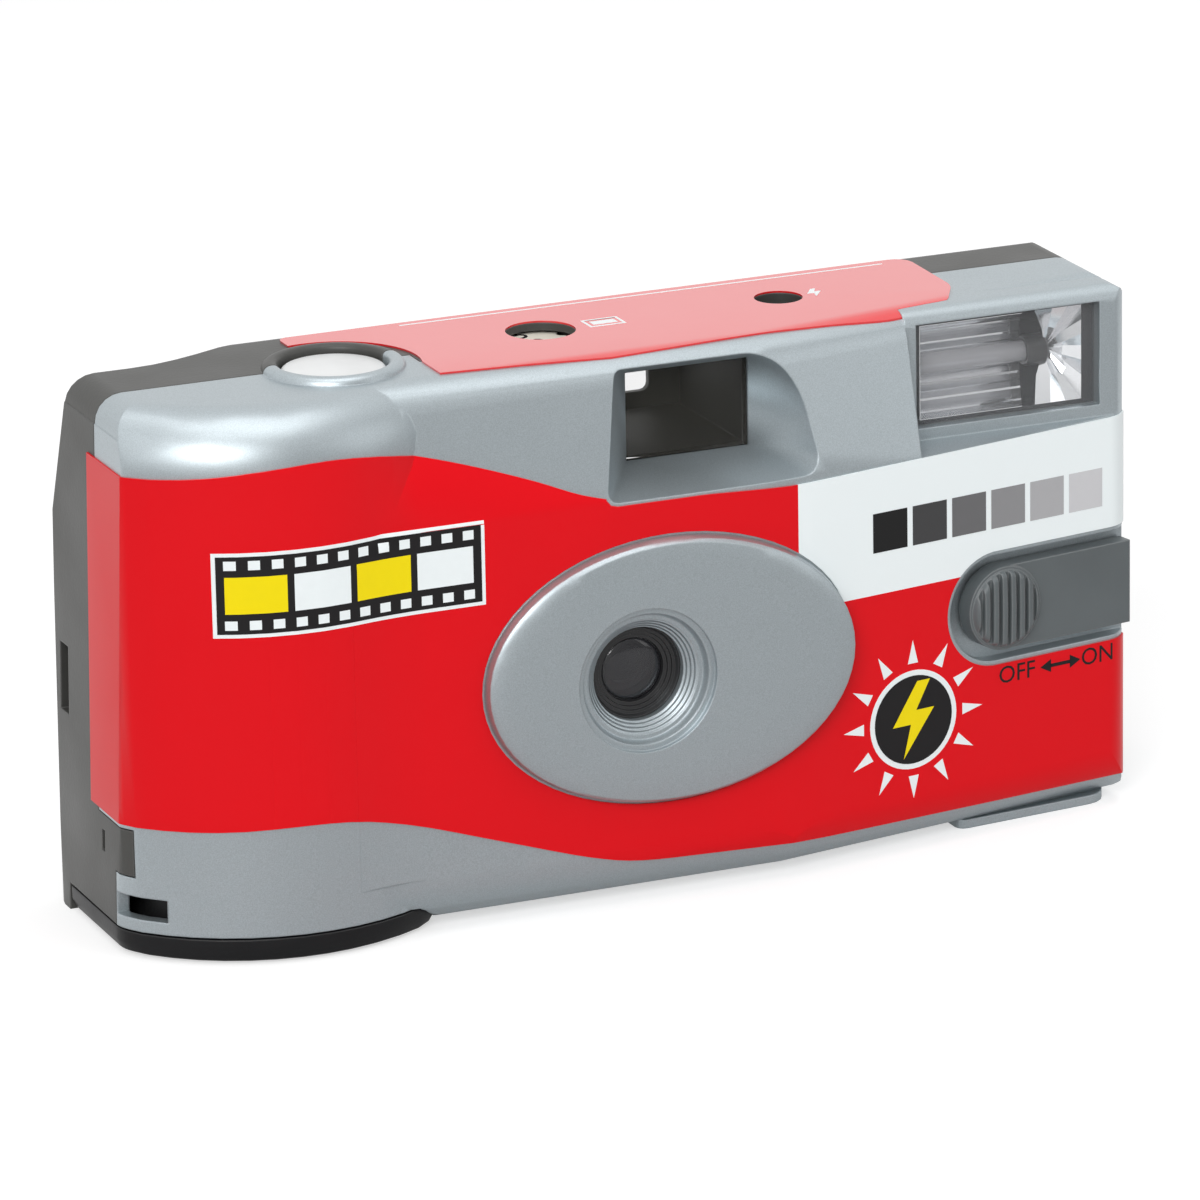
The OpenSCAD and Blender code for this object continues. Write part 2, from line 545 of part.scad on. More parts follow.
module main_frame() {
    color([0.13, 0.13, 0.14]) difference() {
        union() {
            // cassette chamber
            difference() {
                post(cas_x, cas_y, door_z + 0.6, deck_z + 0.1, cas_r + 1.5);
                post(cas_x, cas_y, 0, 60, cas_r + 0.5);
                translate([cas_x - 30, cas_y + 4, 0]) cube([60, 40, 70]);
            }
            translate([cas_x + cas_r + 0.5, cas_y, door_z + 0.6]) cube([1, gate_y0 - cas_y + 0.5, deck_z - door_z - 0.5]);
            // deck
            intersection() {
                form(wall + 0.3);
                translate([-90, -9, deck_z]) cube([90 + vf_l + 0.4, gate_y1 + 9, deck_t]);
            }
            // gate plate and floor
            translate([cas_x + cas_r + 0.5, gate_y0, frame_z0]) cube([plate_r - cas_x - cas_r - 0.5, gate_y1 - gate_y0, deck_z - frame_z0]);
            intersection() {
                form(wall + 0.3);
                translate([plate_l + 1, -9, frame_z0]) cube([plate_r - plate_l - 1, gate_y0 + 9.5, 1]);
            }
            translate([plate_r - 1, roll_y, frame_z0]) cube([1, gate_y1 - roll_y, deck_z - frame_z0 - 3]);
            // battery tray
            intersection() {
                form(wall + 0.3);
                translate([bat_x - bat_l / 2 - 1.8, bat_y - 5, frame_z0]) cube([bat_l + 3.6, 10, 4]);
            }
            // light box with its front wall
            light_cone(0.9, box_y, gate_y0 + 0.3);
            translate([lens_x - 13.5, box_y, lens_z - 9.6]) cube([27, 1, 24]);
            for (x = [-12.3, 12.3], z = [-8, 12.8])
                translate([lens_x + x, box_y + 0.5, lens_z + z]) rotate([90, 0, 0])
                    cylinder(r = 1.1, h = box_y + 0.5 - lensb_y - 0.8);
            translate([blade_x, box_y + 0.5, blade_z]) rotate([90, 0, 0]) cylinder(r = 0.9, h = 2.9);
            // supply chamber
            difference() {
                post(roll_x, roll_y, lens_z - 20.6, lens_z + 20.4, room_r + 0.9);
                post(roll_x, roll_y, lens_z - 19.4, lens_z + 19.2, room_r);
                translate([roll_x - 30, roll_y + 2, 0]) cube([60, 40, 70]);
            }
            post(roll_x, roll_y, lens_z - 20, lens_z - 18, 1.5);
            post(roll_x, roll_y, lens_z + 18, lens_z + 20, 1.5);
            post(roll_x, roll_y, lens_z - 20.6, lens_z - 19.4, 7);
            post(roll_x, roll_y, lens_z + 19.2, lens_z + 20.4, 7);
            // viewfinder tunnel
            translate([vf_l, vf_y + 1.4, vf_b]) cube([vf_r - vf_l, back_y - 2.5 - vf_y - 1.4, vf_t - vf_b]);
            // posts on the deck
            post(dial_x, dial_y, deck_z, dial_z + 0.9, 1.4);
            post(dial_x, dial_y, deck_z, dial_z - 0.3, 2.4);
            post(rel_x, rel_y, deck_z, lever_z + lever_t + 0.6, 1.2);
            post(cock_x, cock_y, deck_z, lever_z + lever_t + 0.6, 1.2);
            // lower bearing of the sprocket
            translate([spr_x - 2.6, spr_y - 2, lens_z + 9.6]) cube([5.2, gate_y0 - spr_y + 2.2, 1.6]);
        }
        hood(1.5);
        translate([vf_x - vf_w / 2 - 0.8, -40, vf_z - vf_h / 2 - 0.8]) cube([vf_w + 1.6, 41.4 + vf_y, vf_h + 1.6]);
        translate([-90, -40, -5]) cube([90 + door_x + 0.5, 80, 5 + door_z + 0.5]);
        translate([roll_x - 11, -40, lens_z + 19]) cube([24, 38.1, 20]);
        light_cone(0, box_y + 1, gate_y0 + 1.1);
        translate([lens_x, 0, lens_z]) rotate([90, 0, 0]) cylinder(r = 3.4, h = 20);
        translate([lens_x - gate_w / 2, gate_y0 - 0.4, lens_z - gate_h / 2]) cube([gate_w, 3, gate_h]);
        translate([bat_x - bat_l / 2 - 1.1, bat_y, bat_z]) rotate([0, 90, 0]) cylinder(r = bat_r, h = bat_l + 2.2);
        translate([vf_x - vf_w / 2, -40, vf_z - vf_h / 2]) cube([vf_w, 80, vf_h]);
        post(cas_x, cas_y, deck_z - 1, deck_z + 4, 3 + shaft_gap);
        post(cas_x, cas_y, deck_z - 10, deck_z, cas_r + 0.5);
        post(spr_x, spr_y, lens_z + 8, deck_z + 4, 1.2 + shaft_gap);
        post(spr_x, spr_y, lens_z + 11.3, lens_z + 17.3, 3.9);
        post(stem_x, stem_y, deck_z - 1, deck_z + 3, 1.6);
        translate([blade_x - 7, box_y - 3, deck_z - 1]) cube([5.4, 3.4, 4]);
    }
}

// Film
function spiral(r0, dr, turns, t) = concat(
    [for (i = [0:18 * turns]) let (a = 90 - 20 * i, r = r0 - dr * i / 18 + t / 2) [roll_x + r * cos(a), roll_y + r * sin(a)]],
    [for (i = [18 * turns:-1:0]) let (a = 90 - 20 * i, r = r0 - dr * i / 18 - t / 2) [roll_x + r * cos(a), roll_y + r * sin(a)]]);
module film_strip() {
    color([0.35, 0.27, 0.22]) difference() {
        along_z(lens_z - film_w / 2, lens_z + film_w / 2) {
            polygon(concat([[cas_x + 3, film_y + film_t]], spiral(film_y + film_t / 2 - roll_y, 0.42, 6, film_t),
                [[cas_x + 3, film_y]]));
        }
        for (i = [0:8], z = [-14.1, 14.1])
            translate([lens_x - 19 + 4.75 * i, film_y - 1, lens_z + z - 1.4]) cube([2, 3, 2.8]);
    }
}
module supply_spool() {
    color([0.2, 0.2, 0.21]) difference() {
        union() {
            post(roll_x, roll_y, lens_z - 18.1, lens_z + 18.1, 4);
            post(roll_x, roll_y, lens_z - 18.9, lens_z - 17.9, 7.6);
            post(roll_x, roll_y, lens_z + 17.9, lens_z + 18.9, 7.6);
        }
        post(roll_x, roll_y, lens_z - 20, lens_z + 20, 1.5 + shaft_gap);
        translate([roll_x - 0.5, roll_y + 2, lens_z - 17.7]) cube([1, 4, 35.4]);
    }
}
module cassette_shell() {
    color([0.72, 0.72, 0.7]) difference() {
        union() {
            post(cas_x, cas_y, cas_z0 + 1, cas_z1 - 1, cas_r - 0.3);
            translate([cas_x, film_y - 0.7, cas_z0 + 1.8]) cube([cas_r + 0.3, cas_y + cas_r - 0.3 - film_y + 0.7, cas_z1 - cas_z0 - 3.6]);
        }
        post(cas_x, cas_y, 0, 60, cas_r - 0.75);
        translate([cas_x - 2, film_y - 0.3, lens_z - film_w / 2 - 0.4]) cube([30, 0.75, film_w + 0.8]);
    }
}
module cassette_caps() {
    color([0.2, 0.2, 0.2]) for (z = [cas_z0, cas_z1 - 1]) difference() {
        post(cas_x, cas_y, z, z + 1, cas_r);
        post(cas_x, cas_y, z - 1, z + 2, 5.2 + shaft_gap);
    }
}
module cassette_spool() {
    color([0.14, 0.14, 0.14]) difference() {
        union() {
            post(cas_x, cas_y, cas_z0 - 1, cas_z1 + 1.2, 5.2);
            post(cas_x, cas_y, cas_z0 + 1.4, cas_z0 + 2.4, 9);
            post(cas_x, cas_y, cas_z1 - 2.4, cas_z1 - 1.4, 9);
        }
        post(cas_x, cas_y, cas_z1 - 2, cas_z1 + 4, 3);
        post(cas_x, cas_y, cas_z0 - 3, cas_z0 + 4, 3);
    }
}

// Winding and counting
module thumbwheel() {
    color([0.16, 0.16, 0.17]) {
        difference() {
            union() {
                along_z(wheel_z, wheel_z + wheel_t - 1.1) translate([cas_x, cas_y])
                    polygon([for (i = [0:119]) let (r = wheel_r - (i % 3 == 0 ? 0.55 : 0)) r * [cos(3 * i), sin(3 * i)]]);
                post(cas_x, cas_y, wheel_z + 1, wheel_z + wheel_t, wheel_r - 1);
            }
            post(cas_x, cas_y, wheel_z + wheel_t - 1.6, wheel_z + wheel_t + 1, wheel_r - 2.4);
        }
        post(cas_x, cas_y, cas_z1 - 2, wheel_z + 0.01, 3);
        post(cas_x, cas_y, wheel_z, wheel_z + wheel_t + 0.8, 4);
    }
}
module ratchet_pawl() {
    color([0.75, 0.72, 0.6]) difference() {
        union() {
            post(cas_x + 13.6, cas_y - 9.5, deck_z + deck_t, wheel_z + 2.2, 1.5);
            along_z(wheel_z + 0.4, wheel_z + 2.2) polygon([[cas_x + 13.2, cas_y - 10.6], [cas_x + 14.2, cas_y - 8.6],
                [cas_x + 13.1, cas_y - 4.5], [cas_x + 13.25, cas_y - 3.1], [cas_x + 13.9, cas_y - 3.2],
                [cas_x + 14.4, cas_y - 6], [cas_x + 15.2, cas_y - 9.4]]);
        }
        post(cas_x, cas_y, wheel_z - 2, wheel_z + 6, wheel_r + run_gap);
    }
}
module sprocket() {
    color([0.8, 0.8, 0.78]) {
        post(spr_x, spr_y, lens_z + 9.6, body_h - wall - 0.4, 1.2);
        along_z(lens_z + 12.8, lens_z + 15.4) translate([spr_x, spr_y])
            polygon([for (i = [0:31]) let (r = (i % 4 < 2) ? 2.7 : 3.4) r * [cos(11.25 * i), sin(11.25 * i)]]);
        post(spr_x, spr_y, lens_z + 12.2, lens_z + 12.8, 3);
        difference() {
            post(spr_x, spr_y, lever_z + 1.6, lever_z + 3, 3.2);
            translate([spr_x + 2.2, spr_y - 1.4, lever_z]) cube([4, 2.8, 6]);
        }
        along_z(body_h - wall - 1, body_h - wall - 0.4) translate([spr_x, spr_y]) square([2.6, 1.2], center = true);
    }
}
dial_z = body_h - 2.2;
module counter_dial() {
    color([0.92, 0.89, 0.8]) difference() {
        along_z(dial_z, dial_z + 1) translate([dial_x, dial_y])
            polygon([for (i = [0:119]) let (r = dial_r - (i % 4 < 2 ? 0.6 : 0)) r * [cos(3 * i), sin(3 * i)]]);
        post(dial_x, dial_y, dial_z - 1, dial_z + 3, 1.4 + shaft_gap);
    }
}
module release_lever() {
    color([0.85, 0.83, 0.75]) difference() {
        union() {
            post(rel_x, rel_y, lever_z, lever_z + lever_t, 2.4);
            along_z(lever_z, lever_z + lever_t) polygon([[rel_x - 1, rel_y - 2.2], [rel_x + 1, rel_y + 2.2],
                [stem_x + 0.9, stem_y + 2.6], [stem_x - 1, stem_y + 1.6], [stem_x - 0.4, stem_y - 1]]);
        }
        post(rel_x, rel_y, lever_z - 1, lever_z + 4, 1.2 + shaft_gap);
        post(spr_x, spr_y, lever_z - 1, lever_z + 4, 1.9);
    }
}
module cocking_lever() {
    color([0.85, 0.83, 0.75]) difference() {
        union() {
            post(cock_x, cock_y, lever_z, lever_z + lever_t, 2.4);
            along_z(lever_z, lever_z + lever_t) polygon([[cock_x - 2.2, cock_y - 1], [cock_x + 2.2, cock_y + 0.5],
                [cock_x + 0.6, cock_y - 6], [blade_x - 3, -4.4], [blade_x - 4.4, box_y - 1.3], [blade_x - 5.8, box_y - 1.3],
                [blade_x - 5.6, -3.6]]);
            // finger that kicks the shutter blade
            translate([blade_x - 5.6, box_y - 1.3, blade_z + 7]) cube([1, 0.9, lever_z + 0.5 - blade_z - 7]);
        }
        post(cock_x, cock_y, lever_z - 1, lever_z + 4, 1.2 + shaft_gap);
        post(dial_x, dial_y, lever_z - 1, lever_z + 4, 3.2);
    }
}

// Shutter and lens
module at_blade() {
    translate([blade_x, blade_y, blade_z]) rotate([90, 0, 0]) children();
}
module shutter_blade() {
    color([0.1, 0.1, 0.1]) at_blade() translate([0, 0, -0.25]) linear_extrude(0.5) difference() {
        union() {
            circle(r = 2);
            polygon([[-1.9, 0.6], [-0.8, -1.9], [8 - 2.6, -8.4 - 2.4], [8 + 2.6, -8.4 + 2.4], [1.4, 1.6]]);
            translate([8, -8.4]) circle(r = 3.6);
            polygon([[-1.8, -0.8], [1.8, 0.8], [-0.6, 9.2], [-2.2, 9]]);
        }
        circle(r = 0.9 + shaft_gap);
    }
}
module shutter_spring() {
    n = 54;
    k = 6;
    wire_r = 0.15;
    pitch = 0.75;
    color([0.8, 0.8, 0.8]) at_blade() {
        pts = [for (i = [0:n], j = [0:k - 1]) let (a = 20 * i, r = 1.6 + wire_r * cos(60 * j))
            [r * cos(a), r * sin(a), 0.8 + pitch * i / 18 + wire_r * sin(60 * j)]];
        polyhedron(pts, concat([[for (j = [0:k - 1]) j]], [[for (j = [k - 1:-1:0]) n * k + j]],
            [for (i = [0:n - 1], j = [0:k - 1]) [i * k + j, (i + 1) * k + j, (i + 1) * k + (j + 1) % k, i * k + (j + 1) % k]]));
    }
}
module lens_board() {
    color([0.12, 0.12, 0.13]) difference() {
        translate([lens_x - 14, lensb_y, lens_z - 10]) cube([28, 0.8, 24.6]);
        on_lens() cylinder(r = 2.2, h = 40);
        translate([blade_x, 0, blade_z]) rotate([90, 0, 0]) cylinder(r = 2.1, h = 40);
    }
}
lens_r = lens_d / 2;
module lens_holder() {
    color([0.06, 0.06, 0.07]) on_lens() rotate_extrude() polygon([[lens_r - 0.9, -lensb_y], [lens_r + 2.4, -lensb_y],
        [lens_r + 2.4, -lensb_y + 1.6], [lens_r + 1.3, -lensb_y + 1.6], [lens_r + 1.3, -face_y - wall],
        [lens_r - 0.5, -face_y - wall], [lens_r - 1.1, -lensb_y + 2.4], [lens_r, -lensb_y + 2.4],
        [lens_r, -lensb_y + 0.7], [lens_r - 0.9, -lensb_y + 0.7]]);
}
module taking_lens() {
    color([0.75, 0.82, 0.88, 0.5]) on_lens() rotate_extrude() polygon(concat(
        [[0, -lensb_y + 0.9], [lens_r - 1.5, -lensb_y + 0.7], [lens_r, -lensb_y + 0.7], [lens_r, -lensb_y + 2],
            [lens_r - 1.4, -lensb_y + 2]],
        [for (i = [1:6]) let (t = i / 6) [(lens_r - 1.4) * (1 - t), -lensb_y + 2 + 1.1 * (1 - (1 - t) * (1 - t))]]));
}
module viewfinder_lens() {
    color([0.8, 0.88, 0.92, 0.5]) translate([vf_x - vf_w / 2 - 0.6, vf_y + 0.05, vf_z - vf_h / 2 - 0.6])
        cube([vf_w + 1.2, 1.35, vf_h + 1.2]);
}
module eyepiece() {
    color([0.8, 0.88, 0.92, 0.5]) translate([vf_x - vf_w / 2 - 0.5, back_y - 2.5, vf_z - vf_h / 2 - 0.5])
        cube([vf_w + 1, 2.4 - wall, vf_h + 0.3]);
}

// Flash unit
module flash_window() {
    color([0.85, 0.9, 0.95, 0.4]) translate([fl_x - flash_w / 2, fl_y - 0.2, fl_z - flash_h / 2])
        cube([flash_w, 1.1, flash_h]);
}
refl_y = fl_y + 0.9;
refl_h = flash_h / 2 - 0.4;
function bowl(e) = [for (i = [0:16]) let (a = -90 + 180 * i / 16) [refl_y + (6 + e) * cos(a), fl_z + (refl_h + e) * sin(a)]];
module flash_reflector() {
    color([0.85, 0.86, 0.88]) difference() {
        along_x(fl_x - flash_w / 2 + 0.4, fl_x + flash_w / 2 - 0.4)
            polygon(concat(bowl(0.35), [[refl_y, fl_z + refl_h + 0.35], [refl_y, fl_z - refl_h - 0.35]]));
        along_x(fl_x - flash_w / 2 + 0.9, fl_x + flash_w / 2 - 0.9)
            polygon(concat(bowl(-0.1), [[refl_y - 1, fl_z + refl_h - 0.1], [refl_y - 1, fl_z - refl_h + 0.1]]));
        along_x(fl_x - 20, fl_x + 20) translate([refl_y + 3.4, fl_z]) circle(r = 1.5);
    }
}
module flash_tube() {
    color([0.92, 0.93, 0.95, 0.7]) along_x(fl_x - flash_w / 2 + 0.05, fl_x + flash_w / 2 - 0.05)
        translate([refl_y + 3.4, fl_z]) circle(r = 1.5);
}
pcb_y = (roll_y - room_r - 1.2 - face_y - (roll_x - bend_x) * tan(sweep)) * cos(sweep) - 0.9;
lead_y = face_y + (rdy_x - bend_x) * tan(sweep) + (pcb_y + 0.9) / cos(sweep);
module flash_board() {
    color([0.55, 0.42, 0.2]) {
        in_sweep() translate([1.5, pcb_y, 15.5]) cube([39.5, 0.9, 27.6]);
        in_sweep() translate([4, pcb_y, 40]) cube([8, 0.9, 8]);
    }
}
module capacitor() {
    color([0.1, 0.1, 0.12]) in_sweep() {
        translate([11, pcb_y + 5.2, 16]) cylinder(r = 4.3, h = 25);
        translate([11, pcb_y + 5.2, 41]) cylinder(r = 3.6, h = 0.8);
        for (x = [-1.6, 1.6]) translate([11 + x, pcb_y + 5.2, 41]) cylinder(r = 0.4, h = 2);
    }
}
module transformer() {
    color([0.75, 0.6, 0.2]) in_sweep() {
        translate([1.6, pcb_y + 0.9, 18]) cube([4.6, 6, 1.4]);
        translate([1.6, pcb_y + 0.9, 25]) cube([4.6, 6, 1.4]);
        translate([3.9, pcb_y + 3.9, 19.4]) cylinder(r = 2.6, h = 5.6);
    }
}
module ready_lamp() {
    color([0.95, 0.55, 0.3, 0.8]) {
        post(rdy_x, rdy_y, 46, 52, 1.5);
        translate([rdy_x, rdy_y, 52]) sphere(r = 1.5);
        for (x = [-0.7, 0.7]) translate([rdy_x + x - 0.25, lead_y + 0.25 + x * tan(sweep), 46])
            cube([0.5, rdy_y - lead_y, 0.5]);
    }
}
module battery() {
    color([0.25, 0.3, 0.35]) translate([bat_x - bat_l / 2, bat_y, bat_z]) rotate([0, 90, 0]) {
        cylinder(r = bat_r - 0.1, h = bat_l - 1);
        cylinder(r = 1.9, h = bat_l);
    }
}
module battery_contacts() {
    color([0.8, 0.78, 0.65]) for (x = [bat_x - bat_l / 2 - 0.5, bat_x + bat_l / 2])
        translate([x, bat_y - 3, bat_z - 3.4]) cube([0.5, 6, 9]);
}

// Controls
module shutter_button() {
    color([0.88, 0.9, 0.92]) {
        translate([but_x, but_y, body_h]) rotate_extrude() polygon(profile([[0, -wall - 1.2, 0, 0],
            [button_d / 2 + 0.9, -wall - 1.2, 0, 0], [button_d / 2 + 0.9, -wall - run_gap, 0, 0],
            [button_d / 2, -wall - run_gap, 0, 0], [button_d / 2, 0, 0.45, 4], [0, 0.3, 0, 0]], 0));
        post(stem_x, stem_y, lever_z + lever_t + button_travel + 0.4, body_h - wall - 1, 1.1);
    }
}
module flash_switch() {
    color([0.37, 0.4, 0.41]) in_sweep() difference() {
        union() {
            translate([pad_x, -0.5, sw_z - sw_h / 2]) cube([44.2 - pad_x, rec_d + 0.2, sw_h]);
            translate([pad_x, 0, sw_z]) rotate([90, 0, 0]) translate([0, 0, -rec_d + 0.3]) cylinder(r = sw_h / 2, h = rec_d + 0.4);
            translate([pad_x, 0, sw_z]) rotate([90, 0, 0]) rotate_extrude() polygon(profile([[0, -0.5, 0, 0],
                [sw_h / 2 - 0.3, -0.5, 0, 0], [sw_h / 2 - 0.3, 0.6, 0, 0], [4, 1.5, 0.6, 4], [0, 1.6, 0, 0]], 0));
            translate([pad_x - 1.6, rec_d - 0.4, sw_z - 1.2]) cube([3.2, 1.6, 2.4]);
        }
        for (i = [-3:3]) translate([pad_x + 1.15 * i - 0.28, -2, sw_z - 5]) cube([0.56, 1.1, 10]);
    }
}
module switch_contact() {
    color([0.8, 0.78, 0.65]) in_sweep() translate([pad_x + 2, pcb_y - 0.3, sw_z - 1]) cube([9, 0.3, 2]);
}

front_cover();
rear_cover();
film_door();
wrap_label();
top_label();
main_frame();
film_strip();
supply_spool();
cassette_shell();
cassette_caps();
cassette_spool();
thumbwheel();
ratchet_pawl();
sprocket();
counter_dial();
release_lever();
cocking_lever();
shutter_blade();
shutter_spring();
lens_board();
lens_holder();
taking_lens();
viewfinder_lens();
eyepiece();
flash_window();
flash_reflector();
flash_tube();
flash_board();
capacitor();
transformer();
ready_lamp();
battery();
battery_contacts();
shutter_button();
flash_switch();
switch_contact();
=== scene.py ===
"""Looks of a disposable film camera: finishes, prints, optics and a plain studio stage."""

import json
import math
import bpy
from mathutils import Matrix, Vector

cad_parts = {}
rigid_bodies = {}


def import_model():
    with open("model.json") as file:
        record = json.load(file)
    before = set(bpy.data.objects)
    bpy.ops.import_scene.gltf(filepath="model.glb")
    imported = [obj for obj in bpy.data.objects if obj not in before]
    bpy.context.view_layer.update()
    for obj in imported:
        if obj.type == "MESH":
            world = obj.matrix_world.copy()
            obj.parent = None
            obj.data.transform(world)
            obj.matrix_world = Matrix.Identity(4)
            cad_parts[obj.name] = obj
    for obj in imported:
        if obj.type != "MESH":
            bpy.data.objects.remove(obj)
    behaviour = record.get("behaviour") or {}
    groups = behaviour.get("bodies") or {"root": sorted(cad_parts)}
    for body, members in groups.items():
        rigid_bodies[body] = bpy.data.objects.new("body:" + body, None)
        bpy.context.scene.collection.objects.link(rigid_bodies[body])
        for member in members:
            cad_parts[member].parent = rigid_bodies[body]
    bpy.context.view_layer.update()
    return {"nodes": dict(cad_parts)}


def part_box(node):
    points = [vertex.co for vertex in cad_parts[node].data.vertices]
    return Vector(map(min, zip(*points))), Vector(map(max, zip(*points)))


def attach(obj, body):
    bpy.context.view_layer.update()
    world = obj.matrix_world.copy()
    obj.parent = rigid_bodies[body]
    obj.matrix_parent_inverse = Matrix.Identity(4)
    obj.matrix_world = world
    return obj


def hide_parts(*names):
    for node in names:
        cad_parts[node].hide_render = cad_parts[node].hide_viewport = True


bl_info = {
    "name": "Disposable Film Camera Looks",
    "version": (1, 0, 0),
    "blender": (4, 5, 0),
    "location": "View3D > Sidebar > Film Camera",
    "description": "Finishes, prints, optics and stage of a disposable film camera",
    "category": "Object",
}

import bmesh
import bpy
from mathutils import Matrix, Vector
from mathutils.bvhtree import BVHTree

for leftover in list(bpy.data.objects):
    bpy.data.objects.remove(leftover)
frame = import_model()

MM = 0.001
LENS = Vector((-2.8, 0.0, 25.8)) * MM
RING_PITCH = 0.34 * MM
RING_DEPTH = 0.03 * MM
WELL_RADIUS = 6.45 * MM
FIELD_LEFT = 15.8 * MM
FIELD_BOTTOM = 30.4 * MM
PRINT_SINK = 0.03 * MM
PRINT_PITCH = 0.5
RAY_START = 0.2
LAMPS = (
    ("key_lamp", (-0.7, -0.95, 0.75), 0.6, 9.6),
    ("fill_lamp", (0.9, -0.7, 0.5), 0.8, 2.0),
    ("top_lamp", (0.0, -0.1, 1.1), 0.8, 4.0),
)
EYE = Vector((-317.72, -759.7, 286.41)) * MM
EYE_RIGHT = Vector((0.9209, -0.3894, -0.018))
EYE_FORWARD = Vector((0.3669, 0.8814, -0.2974))


# Values that a user would change

def tint(name, description, default):
    return bpy.props.FloatVectorProperty(
        name=name, description=description, default=default, size=3, min=0.0, max=1.0, subtype="COLOR")


def length(name, description, default):
    return bpy.props.FloatProperty(
        name=name, description=description, default=default * MM, min=0.0, unit="LENGTH", precision=5)


class FilmCameraColours(bpy.types.PropertyGroup):
    """Colours of the camera's finishes"""
    silver: tint("Silver paint", "Metallic paint of the front cover", (0.425, 0.475, 0.5))
    rear: tint("Rear cover", "Dark moulded plastic of the rear cover", (0.058, 0.058, 0.054))
    black: tint("Black plastic", "Film door, frame and lens mount", (0.008, 0.008, 0.009))
    red: tint("Label red", "Printed red of the wrap label", (0.78, 0.002, 0.008))
    white: tint("Label white", "Printed white of the wrap label", (0.9, 0.96, 0.97))
    yellow: tint("Print yellow", "Yellow ink of the label prints", (0.95, 0.76, 0.0))
    ink: tint("Print black", "Black ink of the label prints", (0.012, 0.011, 0.012))
    button: tint("Button white", "Shutter button", (0.84, 0.85, 0.85))
    switch: tint("Switch grey", "Sliding flash switch", (0.115, 0.132, 0.138))


class FilmCameraSizes(bpy.types.PropertyGroup):
    """Sizes of the camera's finishes"""
    edge: length("Edge rounding", "Radius at which moulded edges catch the light", 0.28)
    ink_lift: length("Ink height", "How far a layer of ink stands on the label", 0.03)
    figure: length("Counter figures", "Height of the figures on the counter dial", 2.9)


def colours():
    return bpy.context.scene.film_camera_colours


def sizes():
    return bpy.context.scene.film_camera_sizes


# Shader tools

def socket(tree, name, kind, side, default=None):
    made = tree.interface.new_socket(name, in_out=side, socket_type=kind)
    if default is not None:
        made.default_value = default
    return made


def add(tree, kind, **values):
    node = tree.nodes.new(kind)
    for key, value in values.items():
        setattr(node, key, value)
    return node


def math_node(tree, operation, first, second=None, third=None):
    node = add(tree, "ShaderNodeMath", operation=operation)
    for slot, value in zip(node.inputs, (first, second, third)):
        if value is None:
            continue
        if isinstance(value, (int, float)):
            slot.default_value = value
        else:
            tree.links.new(value, slot)
    return node.outputs[0]


def mix_colour(tree, factor, first, second):
    node = add(tree, "ShaderNodeMix", data_type="RGBA")
    for slot, value in ((node.inputs[0], factor), (node.inputs[6], first), (node.inputs[7], second)):
        if isinstance(value, bpy.types.NodeSocket):
            tree.links.new(value, slot)
        elif isinstance(value, (int, float)):
            slot.default_value = value
        else:
            slot.default_value = (*value, 1.0)
    return node.outputs[2]


def spread(tree, value, low, high, to_low=0.0, to_high=1.0):
    node = add(tree, "ShaderNodeMapRange")
    tree.links.new(value, node.inputs["Value"])
    node.inputs["From Min"].default_value = low
    node.inputs["From Max"].default_value = high
    node.inputs["To Min"].default_value = to_low
    node.inputs["To Max"].default_value = to_high
    return node.outputs["Result"]


def noise(tree, scale, detail=3.0, stretch=(1.0, 1.0, 1.0)):
    place = add(tree, "ShaderNodeTexCoord")
    mapping = add(tree, "ShaderNodeMapping")
    mapping.inputs["Scale"].default_value = stretch
    tree.links.new(place.outputs["Object"], mapping.inputs["Vector"])
    pattern = add(tree, "ShaderNodeTexNoise")
    pattern.inputs["Scale"].default_value = scale
    pattern.inputs["Detail"].default_value = detail
    tree.links.new(mapping.outputs["Vector"], pattern.inputs["Vector"])
    return pattern.outputs["Fac"]


def axes(tree):
    place = add(tree, "ShaderNodeTexCoord")
    split = add(tree, "ShaderNodeSeparateXYZ")
    tree.links.new(place.outputs["Object"], split.inputs[0])
    return split.outputs


